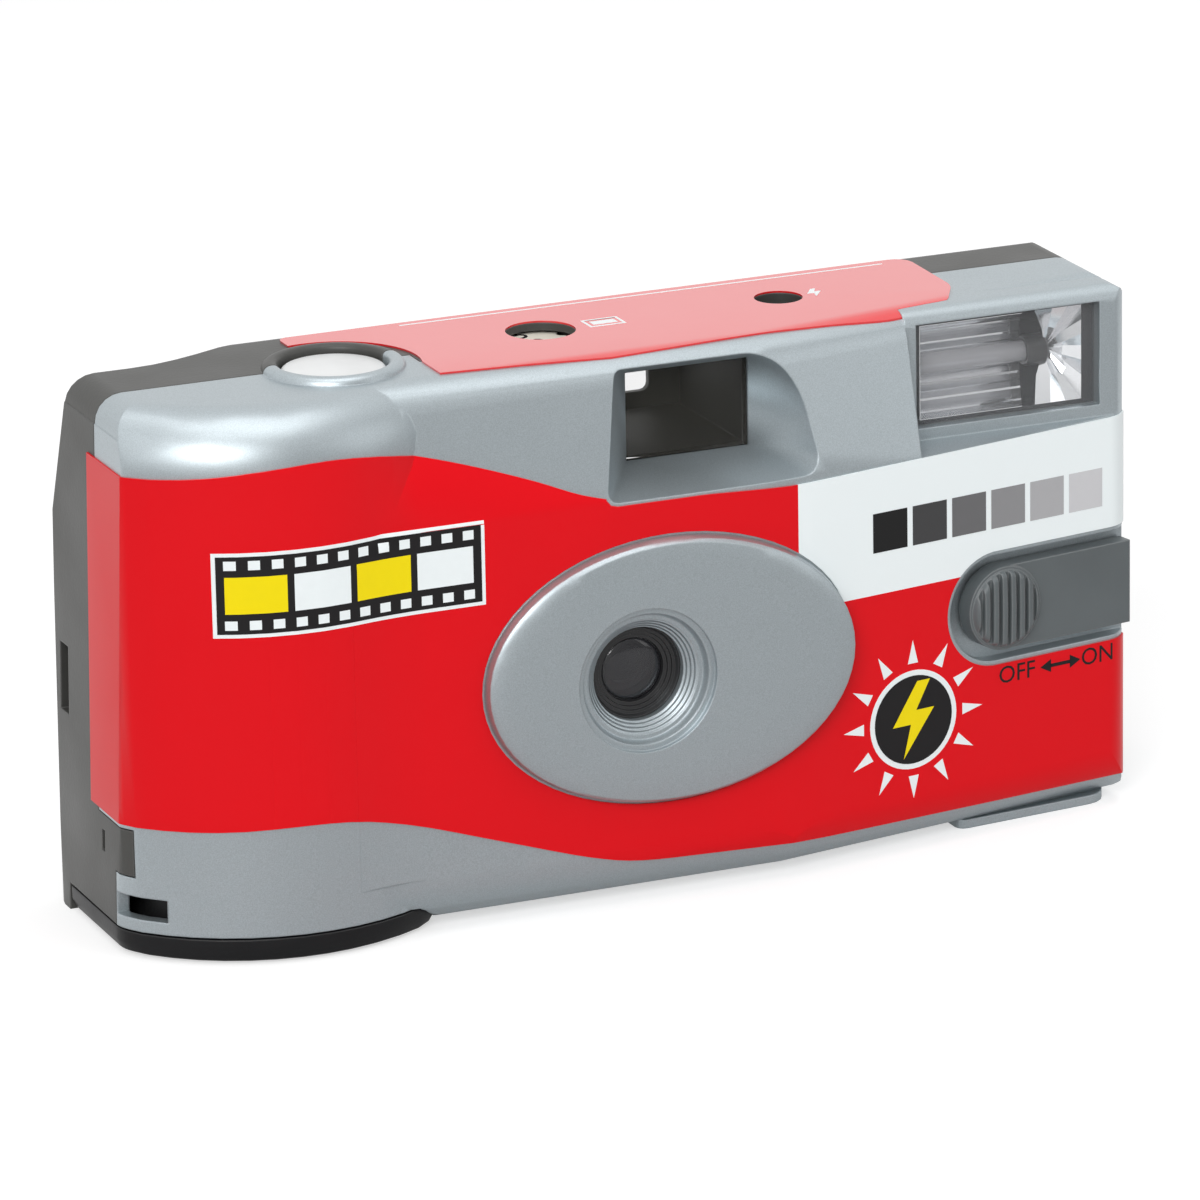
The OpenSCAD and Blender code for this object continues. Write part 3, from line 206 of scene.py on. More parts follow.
def moulded_group():
    """Moulded skin: fine grain, rounded edges, mottling and a mask of the edges where highlights are painted
    """
    tree = bpy.data.node_groups.get("moulded_skin")
    if tree:
        return tree
    tree = bpy.data.node_groups.new("moulded_skin", "ShaderNodeTree")
    socket(tree, "Grain Scale", "NodeSocketFloat", "INPUT", 3000.0)
    socket(tree, "Grain Depth", "NodeSocketFloat", "INPUT", 0.00001)
    socket(tree, "Edge Radius", "NodeSocketFloat", "INPUT", 0.0003)
    socket(tree, "Normal", "NodeSocketVector", "OUTPUT")
    socket(tree, "Mottle", "NodeSocketFloat", "OUTPUT")
    socket(tree, "Edge", "NodeSocketFloat", "OUTPUT")
    given = add(tree, "NodeGroupInput")
    result = add(tree, "NodeGroupOutput")
    place = add(tree, "ShaderNodeTexCoord")
    grain = add(tree, "ShaderNodeTexNoise")
    grain.inputs["Detail"].default_value = 2.0
    tree.links.new(place.outputs["Object"], grain.inputs["Vector"])
    tree.links.new(given.outputs["Grain Scale"], grain.inputs["Scale"])
    rounded = add(tree, "ShaderNodeBevel", samples=6)
    tree.links.new(given.outputs["Edge Radius"], rounded.inputs["Radius"])
    bump = add(tree, "ShaderNodeBump")
    bump.inputs["Strength"].default_value = 1.0
    tree.links.new(given.outputs["Grain Depth"], bump.inputs["Distance"])
    tree.links.new(grain.outputs["Fac"], bump.inputs["Height"])
    tree.links.new(rounded.outputs["Normal"], bump.inputs["Normal"])
    tree.links.new(bump.outputs["Normal"], result.inputs["Normal"])
    cloud = add(tree, "ShaderNodeTexNoise")
    cloud.inputs["Scale"].default_value = 90.0
    cloud.inputs["Detail"].default_value = 4.0
    tree.links.new(place.outputs["Object"], cloud.inputs["Vector"])
    tree.links.new(spread(tree, cloud.outputs["Fac"], 0.3, 0.7), result.inputs["Mottle"])
    # Edge mask, where the rounded normal turns away from the true one; moulded() paints highlights there
    surface = add(tree, "ShaderNodeNewGeometry")
    turn = add(tree, "ShaderNodeVectorMath", operation="DOT_PRODUCT")
    tree.links.new(rounded.outputs["Normal"], turn.inputs[0])
    tree.links.new(surface.outputs["Normal"], turn.inputs[1])
    tree.links.new(spread(tree, turn.outputs["Value"], 0.995, 0.85), result.inputs["Edge"])
    return tree


def start_finish(name, colour=(0.5, 0.5, 0.5), roughness=0.4, metallic=0.0):
    finish = bpy.data.materials.new(name)
    finish.use_nodes = True
    tree = finish.node_tree
    tree.nodes.clear()
    output = add(tree, "ShaderNodeOutputMaterial")
    shader = add(tree, "ShaderNodeBsdfPrincipled")
    shader.inputs["Base Color"].default_value = (*colour, 1.0)
    shader.inputs["Roughness"].default_value = roughness
    shader.inputs["Metallic"].default_value = metallic
    tree.links.new(shader.outputs["BSDF"], output.inputs["Surface"])
    finish.diffuse_color = (*colour, 1.0)
    return finish, tree, shader


def add_skin(tree, shader, scale, depth, edge):
    skin = add(tree, "ShaderNodeGroup", node_tree=moulded_group())
    skin.inputs["Grain Scale"].default_value = scale
    skin.inputs["Grain Depth"].default_value = depth * MM
    skin.inputs["Edge Radius"].default_value = edge
    tree.links.new(skin.outputs["Normal"], shader.inputs["Normal"])
    return skin


def moulded(name, colour, roughness, grain, depth, lift, edge=None, specular=0.5):
    """Plain moulded plastic with grain (depth in millimetres), uneven gloss and painted highlights on its
    edges
    """
    made = bpy.data.materials.get(name)
    if made:
        return made
    finish, tree, shader = start_finish(name, colour, roughness)
    shader.inputs["Specular IOR Level"].default_value = specular
    skin = add_skin(tree, shader, grain, depth, sizes().edge if edge is None else edge)
    # lighter colour mixed onto the rounded edges by the Edge mask: a painted highlight, its strength set by
    # lift
    mottle_and_sheen = tuple(min(1.0, part + (0.9 - part) * lift * 0.25) for part in colour)
    deep = tuple(part * 0.9 for part in colour)
    body = mix_colour(tree, skin.outputs["Mottle"], deep, tuple(part * 1.06 for part in colour))
    tree.links.new(mix_colour(tree, skin.outputs["Edge"], body, mottle_and_sheen), shader.inputs["Base Color"])
    gloss = spread(tree, skin.outputs["Mottle"], 0.0, 1.0, roughness - 0.05, roughness + 0.06)
    tree.links.new(gloss, shader.inputs["Roughness"])
    return finish


def silver_paint():
    """Metallic paint with fine flake, and turned rings in the lens well"""
    made = bpy.data.materials.get("silver_paint")
    if made:
        return made
    colour = tuple(colours().silver)
    finish, tree, shader = start_finish("silver_paint", colour, 0.4, 0.72)
    skin = add_skin(tree, shader, 5200.0, 0.004, sizes().edge)
    flake = noise(tree, 9000.0, 1.0)
    light = tuple(min(1.0, part * 1.1) for part in colour)
    dark = tuple(part * 0.92 for part in colour)
    body = mix_colour(tree, spread(tree, flake, 0.35, 0.65), dark, light)
    tree.links.new(body, shader.inputs["Base Color"])
    gloss = spread(tree, skin.outputs["Mottle"], 0.0, 1.0, 0.38, 0.42)
    tree.links.new(gloss, shader.inputs["Roughness"])
    place = axes(tree)
    across = math_node(tree, "SUBTRACT", place["X"], LENS.x)
    above = math_node(tree, "SUBTRACT", place["Z"], LENS.z)
    across_squared = math_node(tree, "POWER", across, 2.0)
    above_squared = math_node(tree, "POWER", above, 2.0)
    radius = math_node(tree, "SQRT", math_node(tree, "ADD", across_squared, above_squared))
    wave = math_node(tree, "SINE", math_node(tree, "MULTIPLY", radius, 2.0 * math.pi / RING_PITCH))
    near = math_node(tree, "LESS_THAN", radius, WELL_RADIUS)
    rings = add(tree, "ShaderNodeBump")
    rings.inputs["Distance"].default_value = RING_DEPTH
    tree.links.new(math_node(tree, "MULTIPLY", wave, near), rings.inputs["Height"])
    tree.links.new(skin.outputs["Normal"], rings.inputs["Normal"])
    tree.links.new(rings.outputs["Normal"], shader.inputs["Normal"])
    return finish


def label_film(name, field, specular, coat):
    """Printed film; a white field covers the flash end where it is asked for"""
    made = bpy.data.materials.get(name)
    if made:
        return made
    finish, tree, shader = start_finish(name, tuple(colours().red), 0.3)
    shader.inputs["Specular IOR Level"].default_value = specular
    shader.inputs["Coat Weight"].default_value = coat
    shader.inputs["Coat Roughness"].default_value = 0.12
    shader.inputs["Coat IOR"].default_value = 1.7
    skin = add_skin(tree, shader, 900.0, 0.0008, 0.05 * MM)
    # slightly darker red mixed in by mottle: random tone of the film, no painted light
    mottle_and_sheen = tuple(part * 0.985 for part in colours().red)
    body = mix_colour(tree, skin.outputs["Mottle"], tuple(colours().red), mottle_and_sheen)
    if field:
        place = axes(tree)
        right = math_node(tree, "GREATER_THAN", place["X"], FIELD_LEFT)
        high = math_node(tree, "GREATER_THAN", place["Z"], FIELD_BOTTOM)
        body = mix_colour(tree, math_node(tree, "MULTIPLY", right, high), body, tuple(colours().white))
    tree.links.new(body, shader.inputs["Base Color"])
    tree.links.new(spread(tree, skin.outputs["Mottle"], 0.0, 1.0, 0.29, 0.32), shader.inputs["Roughness"])
    return finish


def printed_ink():
    """Ink whose colour is kept on the print's own faces"""
    made = bpy.data.materials.get("printed_ink")
    if made:
        return made
    finish, tree, shader = start_finish("printed_ink", (0.5, 0.5, 0.5), 0.32)
    shader.inputs["Specular IOR Level"].default_value = 0.25
    kept = add(tree, "ShaderNodeAttribute", attribute_name="ink")
    cloud = spread(tree, noise(tree, 900.0), 0.3, 0.7)
    dull = add(tree, "ShaderNodeMix", data_type="RGBA", blend_type="MULTIPLY")
    dull.inputs[7].default_value = (0.98, 0.98, 0.98, 1.0)
    tree.links.new(cloud, dull.inputs[0])
    tree.links.new(kept.outputs["Color"], dull.inputs[6])
    tree.links.new(dull.outputs[2], shader.inputs["Base Color"])
    tree.links.new(spread(tree, cloud, 0.0, 1.0, 0.3, 0.35), shader.inputs["Roughness"])
    return finish


def clear_plastic(name, colour, cover, roughness=0.04, specular=0.5):
    """Clear moulded plastic, polished, with a faint change of gloss"""
    made = bpy.data.materials.get(name)
    if made:
        return made
    finish, tree, shader = start_finish(name, colour, roughness)
    shader.inputs["Specular IOR Level"].default_value = specular
    cloud = spread(tree, noise(tree, 120.0), 0.35, 0.65)
    tree.links.new(spread(tree, cloud, 0.0, 1.0, roughness, roughness + 0.02), shader.inputs["Roughness"])
    tree.links.new(spread(tree, cloud, 0.0, 1.0, cover * 0.95, cover * 1.05), shader.inputs["Alpha"])
    return finish


def polished_edge():
    """Edge of a clear lens that mirrors what lies behind it"""
    made = bpy.data.materials.get("polished_edge")
    if made:
        return made
    finish, tree, shader = start_finish("polished_edge", (0.9, 0.9, 0.9), 0.03, 1.0)
    gloss = spread(tree, noise(tree, 300.0), 0.35, 0.65, 0.02, 0.06)
    tree.links.new(gloss, shader.inputs["Roughness"])
    return finish


def metal(name, colour, roughness, scale=1800.0, stretch=(1.0, 1.0, 1.0), depth=0.004):
    """Bare metal with drawn or rolled texture"""
    made = bpy.data.materials.get(name)
    if made:
        return made
    finish, tree, shader = start_finish(name, colour, roughness, 1.0)
    grain = noise(tree, scale, 3.0, stretch)
    dark = tuple(part * 0.86 for part in colour)
    tree.links.new(mix_colour(tree, spread(tree, grain, 0.3, 0.7), dark, colour), shader.inputs["Base Color"])
    gloss = spread(tree, grain, 0.3, 0.7, roughness - 0.03, roughness + 0.07)
    tree.links.new(gloss, shader.inputs["Roughness"])
    bump = add(tree, "ShaderNodeBump")
    bump.inputs["Distance"].default_value = depth * MM
    tree.links.new(grain, bump.inputs["Height"])
    tree.links.new(bump.outputs["Normal"], shader.inputs["Normal"])
    return finish


def bright_foil():
    """Warm bright foil with fine lines along the reflector"""
    made = bpy.data.materials.get("bright_foil")
    if made:
        return made
    colour = (0.97, 0.96, 0.9)
    finish, tree, shader = start_finish("bright_foil", colour, 0.3, 0.1)
    lines = spread(tree, noise(tree, 500.0, 2.0, (0.02, 1.0, 1.0)), 0.3, 0.7)
    dark = tuple(part * 0.9 for part in colour)
    tree.links.new(mix_colour(tree, lines, dark, colour), shader.inputs["Base Color"])
    tree.links.new(spread(tree, lines, 0.0, 1.0, 0.26, 0.36), shader.inputs["Roughness"])
    return finish


def banded(name, colours_by_height, axis, roughness, metallic=0.0):
    """Sleeve or lacquer whose colour changes in bands along one axis"""
    made = bpy.data.materials.get(name)
    if made:
        return made
    finish, tree, shader = start_finish(name, colours_by_height[0][1], roughness, metallic)
    skin = add_skin(tree, shader, 1500.0, 0.004, 0.2 * MM)
    body = colours_by_height[0][1]
    along = axes(tree)[axis]
    for start, colour in colours_by_height[1:]:
        body = mix_colour(tree, math_node(tree, "GREATER_THAN", along, start * MM), body, colour)
    shade = add(tree, "ShaderNodeMix", data_type="RGBA", blend_type="MULTIPLY")
    shade.inputs[7].default_value = (0.88, 0.88, 0.88, 1.0)
    tree.links.new(skin.outputs["Mottle"], shade.inputs[0])
    tree.links.new(body, shade.inputs[6])
    tree.links.new(shade.outputs[2], shader.inputs["Base Color"])
    return finish


# Mesh tools

def soft_shading():
    """Geometry nodes that join a solid's loose triangles and shade its round faces smooth"""
    tree = bpy.data.node_groups.get("soft_shading")
    if tree:
        return tree
    tree = bpy.data.node_groups.new("soft_shading", "GeometryNodeTree")
    socket(tree, "Geometry", "NodeSocketGeometry", "INPUT")
    socket(tree, "Geometry", "NodeSocketGeometry", "OUTPUT")
    given = add(tree, "NodeGroupInput")
    result = add(tree, "NodeGroupOutput")
    drop = add(tree, "GeometryNodeRemoveAttribute")
    drop.inputs["Name"].default_value = "custom_normal"
    join = add(tree, "GeometryNodeMergeByDistance")
    join.inputs["Distance"].default_value = 0.002 * MM
    smooth = add(tree, "GeometryNodeSetShadeSmooth", domain="FACE")
    angle = add(tree, "GeometryNodeInputMeshEdgeAngle")
    steep = add(tree, "FunctionNodeCompare", data_type="FLOAT", operation="GREATER_THAN")
    steep.inputs[1].default_value = math.radians(30.0)
    crease = add(tree, "GeometryNodeSetShadeSmooth", domain="EDGE")
    crease.inputs["Shade Smooth"].default_value = False
    tree.links.new(given.outputs[0], drop.inputs["Geometry"])
    tree.links.new(drop.outputs["Geometry"], join.inputs["Geometry"])
    tree.links.new(join.outputs["Geometry"], smooth.inputs["Geometry"])
    tree.links.new(angle.outputs["Unsigned Angle"], steep.inputs[0])
    tree.links.new(smooth.outputs["Geometry"], crease.inputs["Geometry"])
    tree.links.new(steep.outputs["Result"], crease.inputs["Selection"])
    tree.links.new(crease.outputs["Geometry"], result.inputs[0])
    return tree


def dress(nodes, finish):
    """Gives CAD nodes their finish and soft shading"""
    for name in nodes:
        target = frame["nodes"][name]
        for slot in target.material_slots:
            slot.material = finish
        if not target.material_slots:
            raise RuntimeError(name + " has no material slot")
        target.modifiers.new("soft shading", "NODES").node_group = soft_shading()
        weighted = target.modifiers.new("weighted normals", "WEIGHTED_NORMAL")
        weighted.keep_sharp = True


def finish_piece(name, shape, body, finishes, replaced=(), smooth=0.6):
    """Turns a bmesh into a piece that rides on a body"""
    bmesh.ops.remove_doubles(shape, verts=shape.verts, dist=0.0005 * MM)
    bmesh.ops.recalc_face_normals(shape, faces=shape.faces)
    if not shape.faces:
        raise RuntimeError(name + " has no faces")
    for face in shape.faces:
        face.smooth = True
    for edge in shape.edges:
        if len(edge.link_faces) == 2 and edge.calc_face_angle(0.0) > smooth:
            edge.smooth = False
    mesh = bpy.data.meshes.new(name)
    shape.to_mesh(mesh)
    shape.free()
    for finish in finishes:
        mesh.materials.append(finish)
    piece = bpy.data.objects.new(name, mesh)
    bpy.context.scene.collection.objects.link(piece)
    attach(piece, body)
    if replaced:
        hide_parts(*replaced)
    return piece


def round_edges(shape, width, segments=3, angle=0.5):
    """Bevels the sharp edges of a shape"""
    sharp = [edge for edge in shape.edges if len(edge.link_faces) == 2 and edge.calc_face_angle(0.0) > angle]
    bmesh.ops.bevel(shape, geom=sharp, offset=width * MM, offset_type="OFFSET", segments=segments,
                    profile=0.5, affect="EDGES", clamp_overlap=True, material=-1)


def block(low, high, width=0.0, segments=3):
    """Box between two corners in millimetres, with rounded edges"""
    shape = bmesh.new()
    size = Vector(high) - Vector(low)
    middle = (Vector(high) + Vector(low)) / 2
    bmesh.ops.create_cube(shape, size=1.0)
    bmesh.ops.scale(shape, vec=size * MM, verts=shape.verts)
    bmesh.ops.translate(shape, vec=middle * MM, verts=shape.verts)
    if width:
        round_edges(shape, width, segments)
    return shape


def turned(points, centre, axis, steps=64):
    """Solid of revolution: points are [radius, distance along the axis] in millimetres"""
    shape = bmesh.new()
    chain = [shape.verts.new((radius * MM, 0.0, along * MM)) for radius, along in points]
    for first, second in zip(chain, chain[1:]):
        shape.edges.new((first, second))
    bmesh.ops.spin(shape, geom=shape.verts[:] + shape.edges[:], cent=(0, 0, 0), axis=(0, 0, 1),
                   angle=2.0 * math.pi, steps=steps, use_merge=True, use_duplicate=False)
    bmesh.ops.remove_doubles(shape, verts=shape.verts, dist=0.001 * MM)
    bmesh.ops.recalc_face_normals(shape, faces=shape.faces)
    turn = Vector((0, 0, 1)).rotation_difference(Vector(axis)).to_matrix().to_4x4()
    bmesh.ops.transform(shape, matrix=Matrix.Translation(Vector(centre) * MM) @ turn, verts=shape.verts)
    return shape


def merge(target, shape):
    """Adds one bmesh to another"""
    carrier = bpy.data.meshes.new("carrier")
    shape.to_mesh(carrier)
    shape.free()
    target.from_mesh(carrier)
    bpy.data.meshes.remove(carrier)


# Printing

def outline(points):
    """Flat shape inside a closed outline, in millimetres"""
    shape = bmesh.new()
    shape.faces.new([shape.verts.new((x * MM, y * MM, 0.0)) for x, y in points])
    return shape


def tile(x0, y0, x1, y1):
    shape = bmesh.new()
    bmesh.ops.create_grid(shape, x_segments=1, y_segments=1, size=0.5)
    bmesh.ops.scale(shape, vec=((x1 - x0) * MM, (y1 - y0) * MM, 1.0), verts=shape.verts)
    bmesh.ops.translate(shape, vec=((x0 + x1) / 2 * MM, (y0 + y1) / 2 * MM, 0.0), verts=shape.verts)
    return shape


def disc(x, y, radius, segments=48):
    shape = bmesh.new()
    bmesh.ops.create_circle(shape, cap_ends=True, segments=segments, radius=radius * MM)
    bmesh.ops.translate(shape, vec=(x * MM, y * MM, 0.0), verts=shape.verts)
    return shape


def lettering(text, height, x, y, turn=0.0):
    """Plain lettering as flat faces, centred on a point"""
    curve = bpy.data.curves.new("lettering", "FONT")
    curve.body = text
    curve.align_x = "CENTER"
    curve.align_y = "CENTER"
    curve.size = height * MM / 0.72
    curve.resolution_u = 3
    writer = bpy.data.objects.new("lettering", curve)
    bpy.context.scene.collection.objects.link(writer)
    bpy.context.view_layer.update()
    flat = bpy.data.meshes.new_from_object(writer)
    shape = bmesh.new()
    shape.from_mesh(flat)
    bpy.data.objects.remove(writer)
    bpy.data.curves.remove(curve)
    bpy.data.meshes.remove(flat)
    bmesh.ops.remove_doubles(shape, verts=shape.verts, dist=0.001 * MM)
    bmesh.ops.rotate(shape, cent=(0, 0, 0), matrix=Matrix.Rotation(turn, 3, "Z"), verts=shape.verts)
    bmesh.ops.translate(shape, vec=(x * MM, y * MM, 0.0), verts=shape.verts)
    return shape


def carrier_tree(node):
    mesh = frame["nodes"][node].data
    return BVHTree.FromPolygons([v.co for v in mesh.vertices], [p.vertices for p in mesh.polygons])


def lay(sheet, shape, colour, layer, tree, along, pitch=PRINT_PITCH):
    """Lays a flat shape on a label: it is cut to follow the surface, given a thickness and inked"""
    if along.y > 0.5:
        stand = Matrix.Rotation(math.pi / 2, 3, "X")
        bmesh.ops.rotate(shape, cent=(0, 0, 0), matrix=stand, verts=shape.verts)
    for normal in (Vector((1, 0, 0)), Vector((0, 0, 1))) if pitch else ():
        low = min(vert.co.dot(normal) for vert in shape.verts)
        high = max(vert.co.dot(normal) for vert in shape.verts)
        for step in range(1, int((high - low) / (pitch * MM)) + 1):
            everything = shape.verts[:] + shape.edges[:] + shape.faces[:]
            place = normal * (low + step * pitch * MM)
            bmesh.ops.bisect_plane(shape, geom=everything, plane_co=place, plane_no=normal, dist=0.0001 * MM)
    grown = bmesh.ops.extrude_face_region(shape, geom=shape.faces[:])
    proud = {item for item in grown["geom"] if isinstance(item, bmesh.types.BMVert)}
    for vert in shape.verts:
        origin = vert.co - along * RAY_START
        hit = tree.ray_cast(origin, along)[0]
        if hit is None:
            raise RuntimeError("a print reaches past its label")
        rise = (layer + 1) * sizes().ink_lift if vert in proud else -PRINT_SINK
        vert.co = hit - along * rise
    bmesh.ops.recalc_face_normals(shape, faces=shape.faces)
    mark = shape.loops.layers.float_color.new("ink")
    for face in shape.faces:
        for loop in face.loops:
            loop[mark] = (*colour, 1.0)
    merge(sheet, shape)


def bolt(x, y, size):
    """Lightning bolt"""
    points = [(0.12, 1.0), (-0.62, -0.12), (-0.08, -0.12), (-0.3, -1.0)]
    points += [(0.62, 0.24), (0.08, 0.24), (0.5, 1.0)]
    return outline([(x + a * size, y + b * size) for a, b in points])


def ray(x, y, inner, outer, width, angle):
    """Short tapered ray of a flash"""
    points = [(inner, -width / 2), (outer, 0.0), (inner, width / 2)]
    turn = Matrix.Rotation(angle, 2)
    return outline([tuple(Vector((x, y)) + turn @ Vector(point)) for point in points])


# Operators

class DressCovers(bpy.types.Operator):
    """Paint the front cover and finish the rear cover and film door"""
    bl_idname = "film_camera.dress_covers"
    bl_label = "Dress Covers"

    def execute(self, context):
        dress(["front_cover"], silver_paint())
        rear = moulded("rear_plastic", tuple(colours().rear), 0.42, 2200.0, 0.02, 0.3, specular=0.4)
        dress(["rear_cover"], rear)
        door = moulded("door_plastic", tuple(colours().black), 0.36, 2600.0, 0.012, 0.2, specular=0.25)
        dress(["film_door"], door)
        return {"FINISHED"}


class PrintLabels(bpy.types.Operator):
    """Give the labels their film and lay the prints on them"""
    bl_idname = "film_camera.print_labels"
    bl_label = "Print Labels"

    def execute(self, context):
        dress(["wrap_label"], label_film("label_film", True, 0.2, 0.0))
        dress(["top_label"], label_film("top_film", False, 0.5, 1.0))
        self.front()
        self.top()
        return {"FINISHED"}

    def front(self):
        sheet = bmesh.new()
        tree = carrier_tree("wrap_label")

        def put(shape, colour, layer=0):
            lay(sheet, shape, tuple(colour), layer, tree, Vector((0, 1, 0)))

        self.film_strip(put)
        self.grey_steps(put)
        self.flash_sign(put)
        self.switch_signs(put)
        finish_piece("label_print", sheet, "camera", [printed_ink()])

    def film_strip(self, put):
        """Strip of film with frames and perforations"""
        left, right = -50.4, -20.4
        low, high = 36.2, 45.4
        border = 0.4
        put(tile(left, low, right, high), colours().white)
        put(tile(left + border, low + border, right - border, high - border), colours().ink, 1)
        holes = 12
        hole_pitch = 2.4
        hole_x = -48.65
        half_wide, half_tall = 0.6, 0.5
        for step in range(holes):
            middle = hole_x + hole_pitch * step
            for height in (37.55, 44.05):
                hole = tile(middle - half_wide, height - half_tall, middle + half_wide, height + half_tall)
                put(hole, colours().white, 2)
        frames = 4
        frame_pitch = 7.05
        frame_width = 6.3
        frame_x = -49.2
        frame_low, frame_high = 38.8, 42.8
        for step in range(frames):
            start = frame_x + frame_pitch * step
            picture = tile(start, frame_low, start + frame_width, frame_high)
            put(picture, colours().white if step % 2 else colours().yellow, 2)

    def grey_steps(self, put):
        """Grey steps on the white field"""
        count = 6
        pitch = 5.1
        size = 4.4
        first, low = 25.2, 35.1
        darkest, span, bend = 0.012, 0.62, 1.6
        for step in range(count):
            shade = darkest + span * (step / (count - 1)) ** bend
            left = first + pitch * step
            put(tile(left, low, left + size, low + size), (shade, shade, shade * 1.03))

    def flash_sign(self, put):
        """Round sign with a bolt and a ring of rays"""
        x, y = 30.2, 15.4
        radius = 5.0
        rim = 0.6
        bolt_size = 4.3
        rays = 12
        ray_start, ray_end, ray_width = 6.4, 9.0, 1.3
        put(disc(x, y, radius + rim), colours().white)
        put(disc(x, y, radius), colours().ink, 1)
        put(bolt(x, y, bolt_size), colours().yellow, 2)
        for step in range(rays):
            angle = 2.0 * math.pi * step / rays
            put(ray(x, y, ray_start, ray_end, ray_width, angle), colours().white)

    def switch_signs(self, put):
        """Words for the ends of the flash switch, with a double arrow between them"""
        height = 2.0
        y = 18.1
        left, right = 46.9, 52.2
        head = 1.4
        half_head, half_shaft = 0.75, 0.2
        overlap = 0.1
        put(lettering("OFF", height, 43.8, y), colours().ink)
        put(lettering("ON", height, 54.5, y), colours().ink)
        shaft = tile(left + head - overlap, y - half_shaft, right - head + overlap, y + half_shaft)
        put(shaft, colours().ink)
        for tip, back in ((left, left + head), (right, right - head)):
            put(outline([(tip, y), (back, y - half_head), (back, y + half_head)]), colours().ink)

    def top(self):
        """Thin line, flash sign and picture frame on the top label"""
        sheet = bmesh.new()
        tree = carrier_tree("top_label")
        white = tuple(colours().white)

        def put(shape):
            lay(sheet, shape, white, 0, tree, Vector((0, 0, -1)), 0)

        put(tile(-19.0, 12.3, 38.0, 12.6))
        put(bolt(26.4, 4.85, 1.5))
        left, low = -0.9, 2.6
        right, high = 3.3, 5.5
        bar = 0.3
        inset_x, inset_y = 0.7, 0.8
        put(tile(left, low, right, low + bar))
        put(tile(left, high - bar, right, high))
        put(tile(left, low + bar, left + bar, high - bar))
        put(tile(right - bar, low + bar, right, high - bar))
        put(tile(left + inset_x, low + inset_y, right - inset_x, high - inset_y))
        finish_piece("top_print", sheet, "camera", [printed_ink()])


class BuildViewfinder(bpy.types.Operator):
    """Make the viewfinder's front lens and eyepiece"""
    bl_idname = "film_camera.build_viewfinder"
    bl_label = "Build Viewfinder"

    def execute(self, context):
        pieces = (("viewfinder_lens", "finder_lens", 0.64), ("eyepiece", "finder_eyepiece", 0.0))
        for node, name, trim in pieces:
            low, high = (Vector(corner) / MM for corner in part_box(node))
            low.z += trim
            shape = block(low, high, 0.04, 2)
            outer = [face for face in shape.faces if abs(face.normal.y) > 0.9 and face.calc_area() > 2e-5]
            bmesh.ops.inset_region(shape, faces=outer, thickness=0.5 * MM, depth=-0.02 * MM)
            for face in shape.faces:
                face.material_index = 1 if face.normal.z < -0.9 and trim else 0
            # the faint brownish body colour at low cover is a painted reflection on the finder lens
            clear = clear_plastic("finder_plastic", (0.3, 0.29, 0.25), 0.05)
            finish_piece(name, shape, "camera", [clear, polished_edge()], (node,))
        return {"FINISHED"}


class BuildTakingLens(bpy.types.Operator):
    """Make the taking lens in its stepped black mount"""
    bl_idname = "film_camera.build_taking_lens"
    bl_label = "Build Taking Lens"

    def execute(self, context):
        black = moulded("lens_black", (0.02, 0.02, 0.021), 0.3, 3000.0, 0.004, 0.3, 0.06 * MM)
        dress(["lens_board"], black)
        self.mount(black)
        self.glass()
        return {"FINISHED"}

    def mount(self, black):
        low, high = (Vector(corner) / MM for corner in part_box("lens_holder"))
        front = low.y
        back = high.y
        flange = (high.x - low.x) / 2
        ledge = back - 1.6
        barrel = flange - 1.1
        seat = 5.5
        seat_back = back - 0.7
        mouth = 4.6
        profile = [(flange, back), (flange, ledge), (barrel, ledge), (barrel, front)]
        # funnel before the glass: each cone's front radius, back radius and depth
        depth = 0.0
        for wide, narrow, deep in ((5.0, 4.75, 0.35), (4.45, 4.35, 0.6), (4.05, 3.95, 0.85), (3.6, 3.5, 1.2)):
            profile += [(wide, front + depth), (narrow, front + deep)]
            depth = deep
        profile += [(seat, front + depth), (seat, seat_back), (mouth, seat_back)]
        profile += [(mouth, back), (flange, back)]
        centre = (LENS.x / MM, 0.0, LENS.z / MM)
        shape = turned(profile, centre, (0, 1, 0))
        # stepped stop behind the glass: each step's outer radius, inner radius and height
        rear = back - 0.05
        stop = [(4.5, rear)]
        for outer, inner, height in ((4.5, 3.7, 0.6), (3.7, 3.0, 0.42), (3.0, 2.3, 0.26)):
            stop += [(outer, back - height), (inner, back - height)]
        stop += [(2.2, rear), (4.5, rear)]
        merge(shape, turned(stop, centre, (0, 1, 0)))
        finish_piece("lens_mount", shape, "camera", [black], ("lens_holder",), 0.4)

    def glass(self):
        low, high = (Vector(corner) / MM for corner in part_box("taking_lens"))
        radius = (high.x - low.x) / 2 - 0.05
        back = high.y
        front = low.y + 0.2
        rim = front + 0.6
        clear = 3.45
        steps = 12
        profile = [(0.0, back - 0.2), (radius - 1.5, back), (radius, back), (radius, rim), (clear, rim)]
        for step in range(1, steps + 1):
            turn = step / steps * math.pi / 2
            profile.append((clear * math.cos(turn), rim - (rim - front) * math.sin(turn)))
        profile[-1] = (0.0, front)
        shape = turned(profile, (LENS.x / MM, 0.0, LENS.z / MM), (0, 1, 0))
        glass = clear_plastic("lens_glass", (0.035, 0.035, 0.04), 0.6, 0.06, 1.0)
        finish_piece("lens_glass", shape, "camera", [glass], ("taking_lens",))


